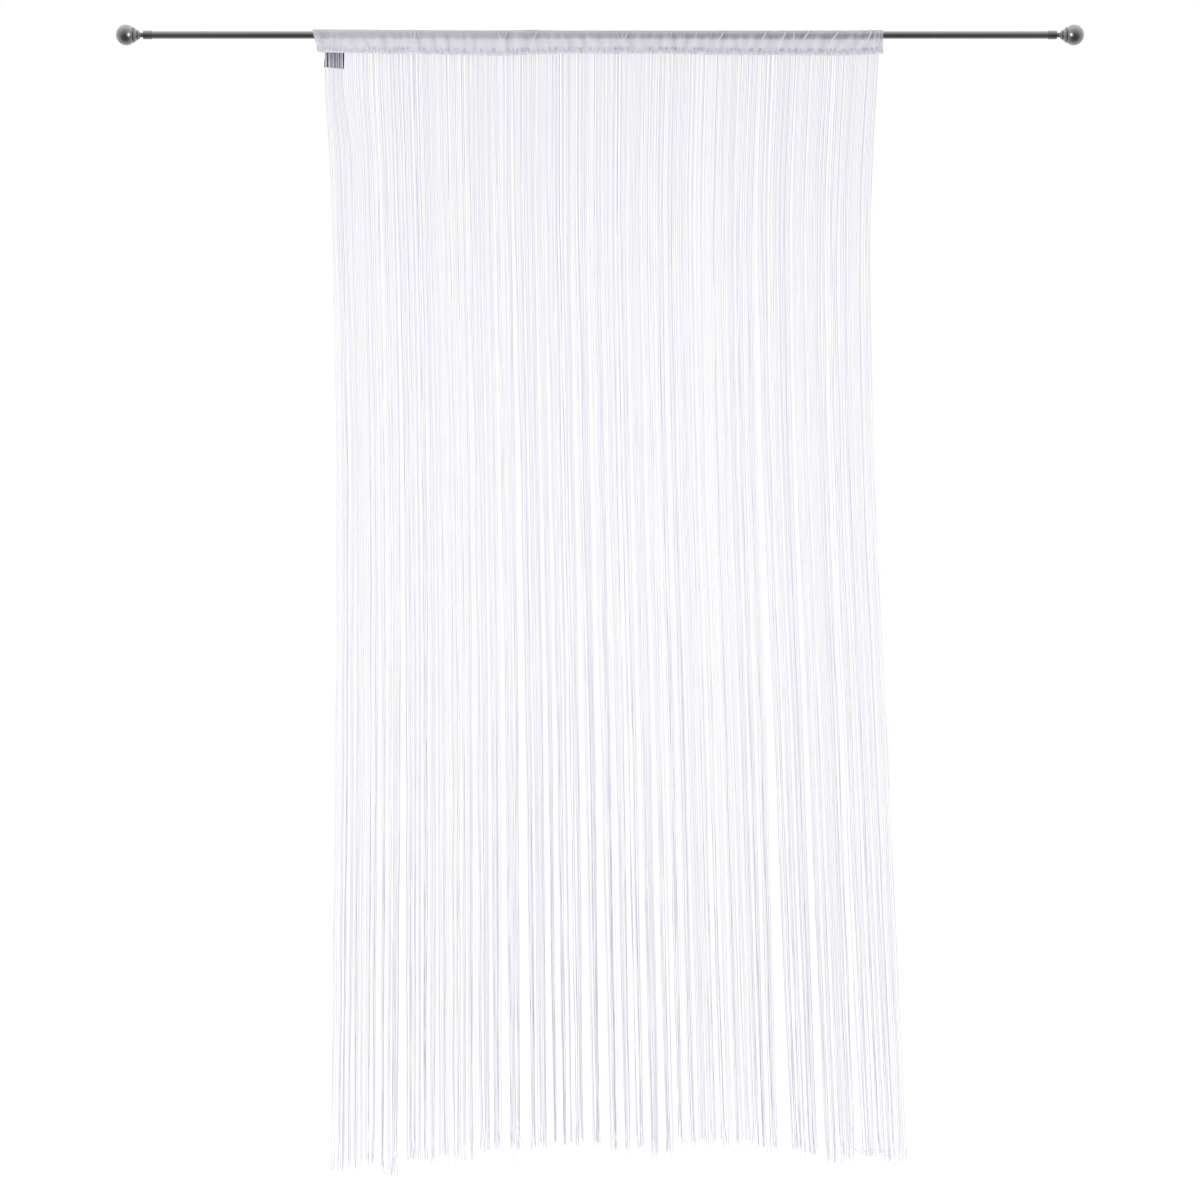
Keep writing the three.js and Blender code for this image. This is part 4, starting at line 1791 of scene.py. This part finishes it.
@dataclass
class StringFall:
    """The strings, which fall from the root strip and drift together into bundles and locks.

    Attributes:
        band: The heading band that they hang from.
        count: Number of strings.
        parts: Number of pieces that they are split into.
        radius: Radius of a string.
        sides: Number of its sides.
        root: How far each root goes up into the strip.
        rings: Number of rings near the root, down the middle and in the curled end.
        root_length: Length of the part near the root.
        curl_length: Length of the curled end.
        curl: How far the end usually curls, in radians.
        curl_spread: How seldom it curls much more, as degrees of freedom of a t distribution.
        wisp_turn: Share of a wisp's curled end over which it turns.
        wisp_wave: Height in radians and number of the waves in it.
        row_depths: How far apart the strings drift from front to back.
        lock_sway: How far a whole lock sways from front to back.
        tip_scatter: How uneven the tips are.
        hairs: Share of the strings that hang past their lock, and how far they do.
        long_tips: Strings that hang past the rest: place and depth of the tip.
        bundle_sizes: Chance of a bundle of one, two, three strings and so on.
        bundle_early: Share of a bundle's drawing together that is there from the start.
        bundle_start: Least and greatest depth from which a bundle closes up further.
        bundle_close: Length over which it closes up.
        tight: Share of the bundles that are tight.
        tight_hold: Share of the way that the strings of a tight bundle draw together.
        loose_hold: The same for a loose one.
        bundle_drift: How far a bundle drifts to the side, and the depth at which it has.
        root_drift: How unevenly the roots are spaced.
        own_drift: How far a string drifts to the side by itself, and the depth at which it has.
        waves: Usual height and length of the slow waves of a bundle and of a string, to the side.
        depth_wave: The same from front to back.
        wave_lengths: Shortest and longest wave, as shares of the usual one.
        wave_start: Length from the root over which the waves grow.
        own_tone: How much the strings' own tones differ.
        first_places: Places of the first strings on the left, before the label.
        first_held: Depths down to which they keep them, and at which they hang like the rest.
        first_flat: How much wider they lie there, pressed flat by the label.
        first_gap: Gap between the last of them and the next string.
        first_pull: How far past them the next strings are drawn along.
        seed: Number that picks the drift, and one less than that which picks the tones.
        random: The source of the drift.
        lock: The number of each string's lock.
        foot: The place of each string once it is in its lock.
        bundle: The number of each string's bundle.
    """

    band: HeadingBand
    count: int = 456
    parts: int = 3
    radius: float = 0.51
    sides: int = 6
    root: float = 4.0
    rings: tuple[int, int, int] = (8, 42, 14)
    root_length: float = 300.0
    curl_length: float = 110.0
    curl: float = 0.05
    curl_spread: int = 3
    wisp_turn: float = 0.35
    wisp_wave: Pair = (0.3, 1.5)
    row_depths: float = 4.0
    lock_sway: float = 5.0
    tip_scatter: float = 6.0
    hairs: Pair = (0.1, 22.0)
    long_tips: tuple[Pair, ...] = (
        (-558.0, 3012.0), (-232.0, 2988.0), (185.0, 2973.0), (330.0, 2988.0), (599.0, 2988.0),
    )
    bundle_sizes: tuple[float, ...] = (0.10, 0.25, 0.34, 0.22, 0.07, 0.02)
    bundle_early: float = 0.45
    bundle_start: Pair = (350.0, 1900.0)
    bundle_close: float = 2000.0
    tight: float = 0.3
    tight_hold: float = 0.88
    loose_hold: float = 0.12
    bundle_drift: Pair = (2.0, 2600.0)
    root_drift: float = 0.5
    own_drift: Pair = (0.4, 300.0)
    waves: tuple[Pair, Pair] = ((0.5, 700.0), (0.6, 420.0))
    depth_wave: Pair = (1.2, 600.0)
    wave_lengths: Pair = (0.6, 1.6)
    wave_start: float = 500.0
    own_tone: float = 0.26
    first_places: tuple[float, ...] = (
        -725.5, -723.3, -721.3, -716.2, -714.7, -712.5, -709.8, -706.8, -704.1, -702.6,
        -699.5, -696.2, -693.9, -690.8, -689.1, -685.6, -683.5, -681.3, -679.9,
    )
    first_held: Pair = (90.0, 320.0)
    first_flat: float = 1.38
    first_gap: float = 4.9
    first_pull: float = 60.0
    seed: int = 7
    random: np.random.Generator = field(init=False)
    lock: ndarray = field(init=False)
    foot: ndarray = field(init=False)
    bundle: ndarray = field(init=False)

    def __post_init__(self) -> None:
        """Parts the strings into locks and bundles."""
        self.random = np.random.default_rng(self.seed)
        self.lock, self.foot = self.draw_into_locks()
        self.bundle = self.bundle_numbers()

    @property
    def shares(self) -> ndarray:
        """Each string's share of the way across the sheet."""
        return (np.arange(self.count) + 0.5) / self.count

    def draw_into_locks(self) -> tuple[ndarray, ndarray]:
        """Finds the lock that each string is drawn into.

        Returns:
            The number of the lock, and the string's place once it is there.
        """
        lefts, rights, _ = np.array(LOCKS, float).T
        first, last = lefts[0], rights[-1]
        free = first + self.shares * (last - first)
        bounds = np.concatenate([[first], (rights[:-1] + lefts[1:]) / 2, [last]])
        lock = np.clip(np.searchsorted(bounds, free) - 1, 0, len(LOCKS) - 1)
        way = (free - bounds[lock]) / (bounds[lock + 1] - bounds[lock])
        return lock, lefts[lock] + way * (rights[lock] - lefts[lock])

    def bundle_numbers(self) -> ndarray:
        """Parts the strings of each lock into bundles of neighbours.

        Returns:
            The number of each string's bundle.
        """
        numbers = np.zeros(self.count, int)
        current, left = 0, 0
        for string in range(self.count):
            if left == 0 or (string and self.lock[string] != self.lock[string - 1]):
                current += 1
                left = 1 + self.random.choice(len(self.bundle_sizes), p=self.bundle_sizes)
            numbers[string] = current
            left -= 1
        return numbers

    def nearest(self, place: float) -> int:
        """Finds the string whose lower end is nearest to a place."""
        return int(np.argmin(np.abs(self.foot - place)))

    def tips(self) -> ndarray:
        """Gives the depth at which each string ends.

        Returns:
            The depth for each string.
        """
        tips = np.array([LOCKS[number].tip for number in self.lock], float)
        tips += self.random.normal(0, self.tip_scatter, self.count)
        share, past = self.hairs
        tips += (self.random.random(self.count) < share) * self.random.uniform(0, past, self.count)
        for place, depth in self.long_tips:
            tips[self.nearest(place)] = depth
        tips = np.minimum(tips, max(depth for _, depth in self.long_tips))
        for wisp in WISPS:
            tips[self.nearest(wisp.at)] = wisp.tip
        return tips

    def ring_places(self, lengths: ndarray) -> ndarray:
        """Lists how far down each string its rings are, close together at its root and its tip.

        Args:
            lengths: Length of each string.

        Returns:
            How far down each ring is, in a row for each string.
        """
        near, middle, end = self.rings
        long = lengths[:, None]
        rest = long - self.root_length - self.curl_length
        parts = (
            np.linspace(0, self.root_length, near, endpoint=False) + 0 * long,
            self.root_length + np.linspace(0, 1, middle, endpoint=False) * rest,
            long - self.curl_length + np.linspace(0, self.curl_length, end),
        )
        return np.concatenate(parts, 1)

    def across(self, down: ndarray | float, share: ndarray) -> ndarray:
        """Gives the place of a share of the sheet's width at a depth."""
        left = smooth_along(FALL_LEVELS, "down", "left", down)
        return left + share * (smooth_along(FALL_LEVELS, "down", "right", down) - left)

    def hang(self) -> Lines:
        """Works out the line that each string follows.

        Returns:
            The lines.
        """
        first, last = LOCKS[0].left, LOCKS[-1].right
        top = along(BAND_RUN, "at", "edge", self.across(self.band.level, self.shares)) - self.root
        travel = self.ring_places(self.tips() - top)
        down = top[:, None] + travel
        gathered = smooth_along(FALL_LEVELS, "down", "gathered", down)
        share = (self.foot - first) / (last - first)
        share = self.shares[:, None] * (1 - gathered) + share[:, None] * gathered
        lines = Lines(travel, down, self.across(down, share), self.depths()[:, None] * gathered)
        self.bundle_up(lines)
        self.set_first(lines)
        self.curl_ends(lines)
        return lines

    def depths(self) -> ndarray:
        """Gives how far to the back each string drifts: its lock's sway, its bundle's and its own.

        Returns:
            The drift of each string.
        """
        sway = self.lock_sway * self.random.uniform(-1, 1, len(LOCKS))
        drift = self.row_depths * self.random.uniform(-1, 1, self.bundle.max() + 1)
        return sway[self.lock] + drift[self.bundle] + self.random.uniform(-1, 1, self.count)

    def uniform(self, low: float, high: float, group: ndarray) -> ndarray:
        """Draws a value between two limits for each group, and gives each string its group's."""
        return self.random.uniform(low, high, group.max() + 1)[group][:, None]

    def normal(self, spread: float, group: ndarray) -> ndarray:
        """Draws a normal value about zero for each group, and gives each string its group's."""
        return self.random.normal(0, spread, group.max() + 1)[group][:, None]

    def bundle_up(self, lines: Lines) -> None:
        """Draws the strings of each bundle together and lets bundles and strings wave a little.

        Args:
            lines: The strings' lines, which it changes.
        """
        bundle, single = self.bundle, np.arange(self.count)
        many = bundle.max() + 1
        size = np.maximum(np.bincount(bundle, minlength=many), 1)
        middle = np.stack([np.bincount(bundle, ring, many) / size for ring in lines.x.T], 1)[bundle]
        late = eased((lines.down - self.uniform(*self.bundle_start, bundle)) / self.bundle_close)
        tight = self.uniform(0, 1, bundle) < self.tight
        hold = np.where(tight, self.tight_hold, self.loose_hold)
        closed = hold * (self.bundle_early + (1 - self.bundle_early) * late)
        drift, low = self.bundle_drift
        drifted = self.normal(drift, bundle) * eased(lines.down / low)
        root = self.normal(self.root_drift, single)
        drift, low = self.own_drift
        own = self.normal(drift, single) * eased(lines.down / low)
        lines.x += closed * (middle - lines.x) + drifted + root + own
        for size, group in zip(self.waves, (bundle, single)):
            lines.x += self.wave(lines.down, size, group)
        lines.y += self.wave(lines.down, self.depth_wave, single)

    def wave(self, down: ndarray, size: Pair, group: ndarray) -> ndarray:
        """Makes slow waves that start at the root.

        Args:
            down: The depths, a row for each string.
            size: Usual height and length of a wave.
            group: The number of each string's wave.

        Returns:
            How far each point is off the straight line.
        """
        height, length = size
        tall = self.normal(height, group)
        long = self.uniform(*self.wave_lengths, group) * length
        phase = self.uniform(0, FULL_TURN, group)
        grown = eased((down - self.band.level) / self.wave_start)
        return tall * np.sin(FULL_TURN * down / long + phase) * grown

    def set_first(self, lines: Lines) -> None:
        """Takes the first strings on the left to their own uneven places, and the next ones along.

        Args:
            lines: The strings' lines, which it changes.
        """
        held = self.held_first(lines)
        first, rest = np.split(np.argsort(lines.x[:, 0]), [len(self.first_places)])
        lines.x[first] += held[first] * (np.array(self.first_places)[:, None] - lines.x[first])
        pull = lines.x[rest[0]] - self.first_places[-1] - self.first_gap
        near = np.exp((lines.x[rest[0]] - lines.x[rest]) / self.first_pull)
        lines.x[rest] -= held[rest] * pull * near

    def held_first(self, lines: Lines) -> ndarray:
        """Gives how firmly the first strings keep their places at each ring, from one to zero."""
        return 1 - ramp(lines.down, *self.first_held)

    def flatness(self, lines: Lines) -> ndarray:
        """Gives how much wider than a hanging string each ring of each string is."""
        first = np.argsort(np.argsort(lines.x[:, 0])) < len(self.first_places)
        return 1 + (self.first_flat - 1) * self.held_first(lines) * first[:, None]

    def curl_ends(self, lines: Lines) -> None:
        """Curls the lower ends: the line turns away from the plumb more and more.

        Args:
            lines: The strings' lines, which it changes.
        """
        step = np.diff(lines.travel, axis=1, prepend=0)
        left = lines.travel[:, -1:] - lines.travel
        bent = self.curl * np.clip(1 - left / self.curl_length, 0, 1) ** 2
        aside, outward = (
            self.random.standard_t(self.curl_spread, self.count)[:, None] * bent for _ in range(2)
        )
        height, waves = self.wisp_wave
        for wisp in WISPS:
            string = self.nearest(wisp.at)
            reach = np.clip(1 - left[string] / wisp.length, 0, 1)
            wave = height * np.sin(FULL_TURN * waves * reach) * reach
            aside[string] = wisp.turn * eased(reach / self.wisp_turn) + wave
        lines.x += np.cumsum(np.sin(aside) * step, 1)
        lines.y += np.cumsum(np.sin(outward) * np.cos(aside) * step, 1)
        lines.down += np.cumsum((np.cos(aside) * np.cos(outward) - 1) * step, 1)

    def corners(self, lines: Lines, flat: ndarray) -> ndarray:
        """Places the corners of each ring, square to its string.

        Args:
            lines: The strings' lines.
            flat: How much wider than usual each ring is.

        Returns:
            The corners, for each string, ring and side.
        """
        points = np.stack([lines.x, lines.y, -lines.down], -1)
        turn = FULL_TURN * np.arange(self.sides)[:, None] / self.sides
        ahead = np.gradient(points, axis=1)
        aside = np.cross(ahead, (0, 1, 0))
        back = np.cross(aside, ahead)
        for way in (aside, back):
            way /= np.linalg.norm(way, axis=-1, keepdims=True)
        around = aside[:, :, None] * np.cos(turn) + back[:, :, None] * np.sin(turn)
        return points[:, :, None] + self.radius * around * flat[:, :, None, None]

    def tubes(self, name: str, corners: ndarray, travel: ndarray) -> Piece:
        """Makes one piece of round strings.

        Args:
            name: The piece's name.
            corners: The corners of each ring of each string.
            travel: How far down its string each ring is.

        Returns:
            The new piece.
        """
        number = np.arange(travel.size * self.sides).reshape(*travel.shape, self.sides)
        after = np.roll(number, -1, 2)
        walls = np.stack([number[:, :-1], number[:, 1:], after[:, 1:], after[:, :-1]], -1)
        faces = walls.reshape(-1, 4).tolist() + number[:, 0].tolist() + number[:, -1, ::-1].tolist()
        piece = mesh_piece(name, corners, faces)
        around = np.arange(self.sides)[:, None] + (0, 0, 1, 1)
        high, low = travel[:, :-1, None, None], travel[:, 1:, None, None]
        down = np.concatenate([high, low, low, high], -1) * MM
        on_walls = np.stack(np.broadcast_arrays(around / self.sides, down), -1).reshape(-1, 2)
        on_ends = np.zeros((2 * len(travel) * self.sides, 2))
        give_map(piece, np.concatenate([on_walls, on_ends]))
        return piece

    def build(self) -> None:
        """Hangs the strings and dresses them."""
        lines = self.hang()
        flat = self.flatness(lines)
        own = np.random.default_rng(self.seed + 1).normal(0, self.own_tone, self.count)[:, None]
        # painted light and shade by depth go on each string's own tone, and painted grey shade lower down
        usual, painted_grey = (along(YARN_SHADING, "down", column, lines.down) for column in ("usual", "painted_grey"))
        painted = {"tone": own * (2 - flat) - (flat - 1) + usual, "low": painted_grey}
        corners = self.corners(lines, flat)
        for number, part in enumerate(np.array_split(np.arange(self.count), self.parts)):
            piece = self.tubes(f"strings_{number + 1}", corners[part], lines.travel[part])
            for name, values in painted.items():
                paint(piece, name, np.repeat(values[part], self.sides))
            STRING_YARN.put_on(piece, "strings")


@dataclass
class SewnLabel:
    """The plain woven label, sewn to the back of the band at the left end.

    Attributes:
        left: Place of its left side at the top.
        width: Its width.
        leans: How far its left and its right side hang to the left at the bottom.
        top: Depth of its top.
        bottom: Depth of the left corner of its lower edge.
        slant: How much lower the right corner hangs.
        off: How far its middle stands off the middle of the band at the top.
        swing: How far its lower edge swings to the back.
        bow: How far it bows across its width.
        ripple: Height of the ripple at its lower edge, and its turn across and down, in radians.
        cloth: Its thickness.
        steps: Number of faces each way.
    """

    left: float = -725.0
    width: float = 50.0
    leans: Pair = (4.2, 1.8)
    top: float = 38.5
    bottom: float = 83.5
    slant: float = 5.0
    off: float = 2.0
    swing: float = 5.0
    bow: float = 0.8
    ripple: Triple = (0.3, 5.0, 2.0)
    cloth: float = 0.45
    steps: int = 28

    def build(self) -> None:
        """Cuts the label, hangs it and dresses it."""
        share = np.linspace(0, 1, self.steps + 1)
        side, fall = np.meshgrid(share, share)
        tall, across, down = self.ripple
        x = self.left + side * self.width - fall * np.interp(side, (0, 1), self.leans)
        bowed = self.bow * (1 - (2 * side - 1) ** 2) + tall * np.sin(across * side + down * fall)
        y = self.off + self.swing * fall**2 - bowed * fall
        z = -self.top - fall * (self.bottom - self.top + self.slant * side)
        height = self.bottom - self.top + self.slant / 2
        flat = np.stack([side * self.width, fall * height], -1)
        nearest = np.minimum(np.minimum(side, 1 - side), np.minimum(fall, 1 - fall))
        rim = 1 - nearest / LABEL_RIBBON.rim_share
        label = cloth_piece("label_ribbon", np.stack([x, y, z], -1), flat, self.cloth, rim=rim)
        LABEL_RIBBON.put_on(label, "sewn_label")


@dataclass(frozen=True)
class SoftBox:
    """A soft studio lamp.

    Attributes:
        name: Its name.
        place: Where it stands, in metres.
        aim: What it points at, in metres.
        size: Width of its round face, in metres.
        watts: Its power.
        in_gloss: Whether it is there for the highlights of glossy surfaces, or else for all others.
    """

    name: str
    place: Triple
    aim: Triple
    size: float
    watts: float
    in_gloss: bool

    def build(self) -> None:
        """Sets the lamp up."""
        data = bpy.data.lights.new(self.name, "AREA")
        data.shape = "DISK"
        data.size = self.size
        data.energy = self.watts
        lamp = bpy.data.objects.new(self.name, data)
        lamp.location = self.place
        way = Vector(self.aim) - Vector(self.place)
        lamp.rotation_euler = way.to_track_quat("-Z", "Y").to_euler()
        lamp.visible_camera = False
        lamp.visible_glossy = self.in_gloss
        lamp.visible_diffuse = not self.in_gloss
        bpy.context.scene.collection.objects.link(lamp)


@dataclass
class Studio:
    """The plain studio that the curtain hangs in: floor, soft light and camera.

    Attributes:
        floor_z: Height of the floor, in metres.
        floor_front: Where the floor starts in front of the curtain, in metres.
        floor_reach: How far it goes to the back and to each side, in metres.
        eye: Distance of the camera in front of the curtain, in metres.
        eye_z: Height of the camera, in metres.
        view_width: Width that the camera sees at the curtain, in metres.
        sensor: Width of the camera's sensor, in millimetres.
        dark_way: Direction of the darkest part of the room, in front of the curtain and low.
        dark: Light from there.
        bright: Light from the brightest part, behind and above.
        ramp: Cosines of the angles from the darkest direction at which it gets lighter and is brightest.
        lamps: The lamps.
    """

    floor_z: float = -3.12
    floor_front: float = -0.4
    floor_reach: float = 16.0
    eye: float = 7.05
    eye_z: float = -1.4916
    view_width: float = 3.168
    sensor: float = 36.0
    dark_way: Triple = (0.0, -0.81, -0.586)
    dark: float = 0.08
    bright: float = 1.05
    ramp: Pair = (0.9, -0.75)
    lamps: Sequence[SoftBox] = (
        SoftBox("shine", (0.0, -1.44, -0.2), (0.0, 0.0, -0.2), 1.15, 8.0, True),
        SoftBox("fill_left", (-2.2, -3.0, -1.5), (0.0, 0.0, -1.5), 1.6, 72.0, False),
        SoftBox("fill_right", (2.2, -3.0, -1.5), (0.0, 0.0, -1.5), 1.6, 72.0, False),
    )

    def build(self) -> None:
        """Sets up the camera, the lamps, the light of the room and the floor."""
        self.add_camera()
        for lamp in self.lamps:
            lamp.build()
        self.light_room()
        self.lay_floor()
        bpy.context.scene.view_settings.view_transform = "Standard"

    def shine_on(self, polished: Sequence[Piece]) -> None:
        """Lets the lamps that are there for the highlights light the polished pieces alone.

        Args:
            polished: The pieces.
        """
        group = bpy.data.collections.new("polished")
        for piece in polished:
            group.objects.link(piece)
        for lamp in self.lamps:
            if lamp.in_gloss:
                bpy.data.objects[lamp.name].light_linking.receiver_collection = group

    def add_camera(self) -> None:
        """Adds the camera: level, square to the curtain and half way down it."""
        data = bpy.data.cameras.new("camera")
        data.sensor_width = self.sensor
        data.lens = self.sensor * self.eye / self.view_width
        camera = bpy.data.objects.new("camera", data)
        camera.location = (0, -self.eye, self.eye_z)
        camera.rotation_euler = (RIGHT_ANGLE, 0, 0)
        bpy.context.scene.collection.objects.link(camera)
        bpy.context.scene.camera = camera

    def light_room(self) -> None:
        """Lights the room: bright above, behind and at the sides, darker in front, white to the eye."""
        world = bpy.data.worlds.new("studio")
        world.use_nodes = True
        tree = world.node_tree
        way = {0: add_node(tree, "TexCoord", "Generated"), 1: self.dark_way}
        ahead = add_node(tree, "VectorMath", "Value", way, operation="DOT_PRODUCT")
        start, end = self.ramp
        turned = {"Value": ahead, "From Min": start, "From Max": end}
        toned = add_node(tree, "MapRange", "Result", turned | {"To Min": self.dark, "To Max": self.bright})
        to_eye = add_node(tree, "LightPath", "Is Camera Ray")
        seen = add_node(tree, "MixRGB", "Color", {"Fac": to_eye, "Color1": toned, "Color2": linear(WHITE)})
        join(tree, own_node(tree, "BACKGROUND"), {"Color": seen})
        bpy.context.scene.world = world

    def lay_floor(self) -> None:
        """Lays the pale floor under and behind the curtain."""
        deep = self.floor_reach - self.floor_front
        place = (0, self.floor_front + deep / 2, self.floor_z)
        bpy.ops.mesh.primitive_plane_add(size=1.0, location=place)
        floor = settle("floor", (2 * self.floor_reach, deep, 1))
        floor.data.materials.append(PALE_FLOOR.material())
        floor.visible_glossy = False


def main() -> None:
    """Builds the curtain's pieces in order."""
    logging.basicConfig(level=logging.INFO, format="%(name)s %(message)s")
    studio = Studio()
    studio.build()
    CurtainRod().build()
    for side in Side:
        EndCap(side).build()
    studio.shine_on([Finial(side).build() for side in Side])
    band = HeadingBand()
    band.build()
    fall = StringFall(band)
    RootStrip(band, fall.count).build()
    for face in Face:
        StitchLine(band, face).build()
    fall.build()
    SewnLabel().build()


if __name__ == "__main__":
    main()
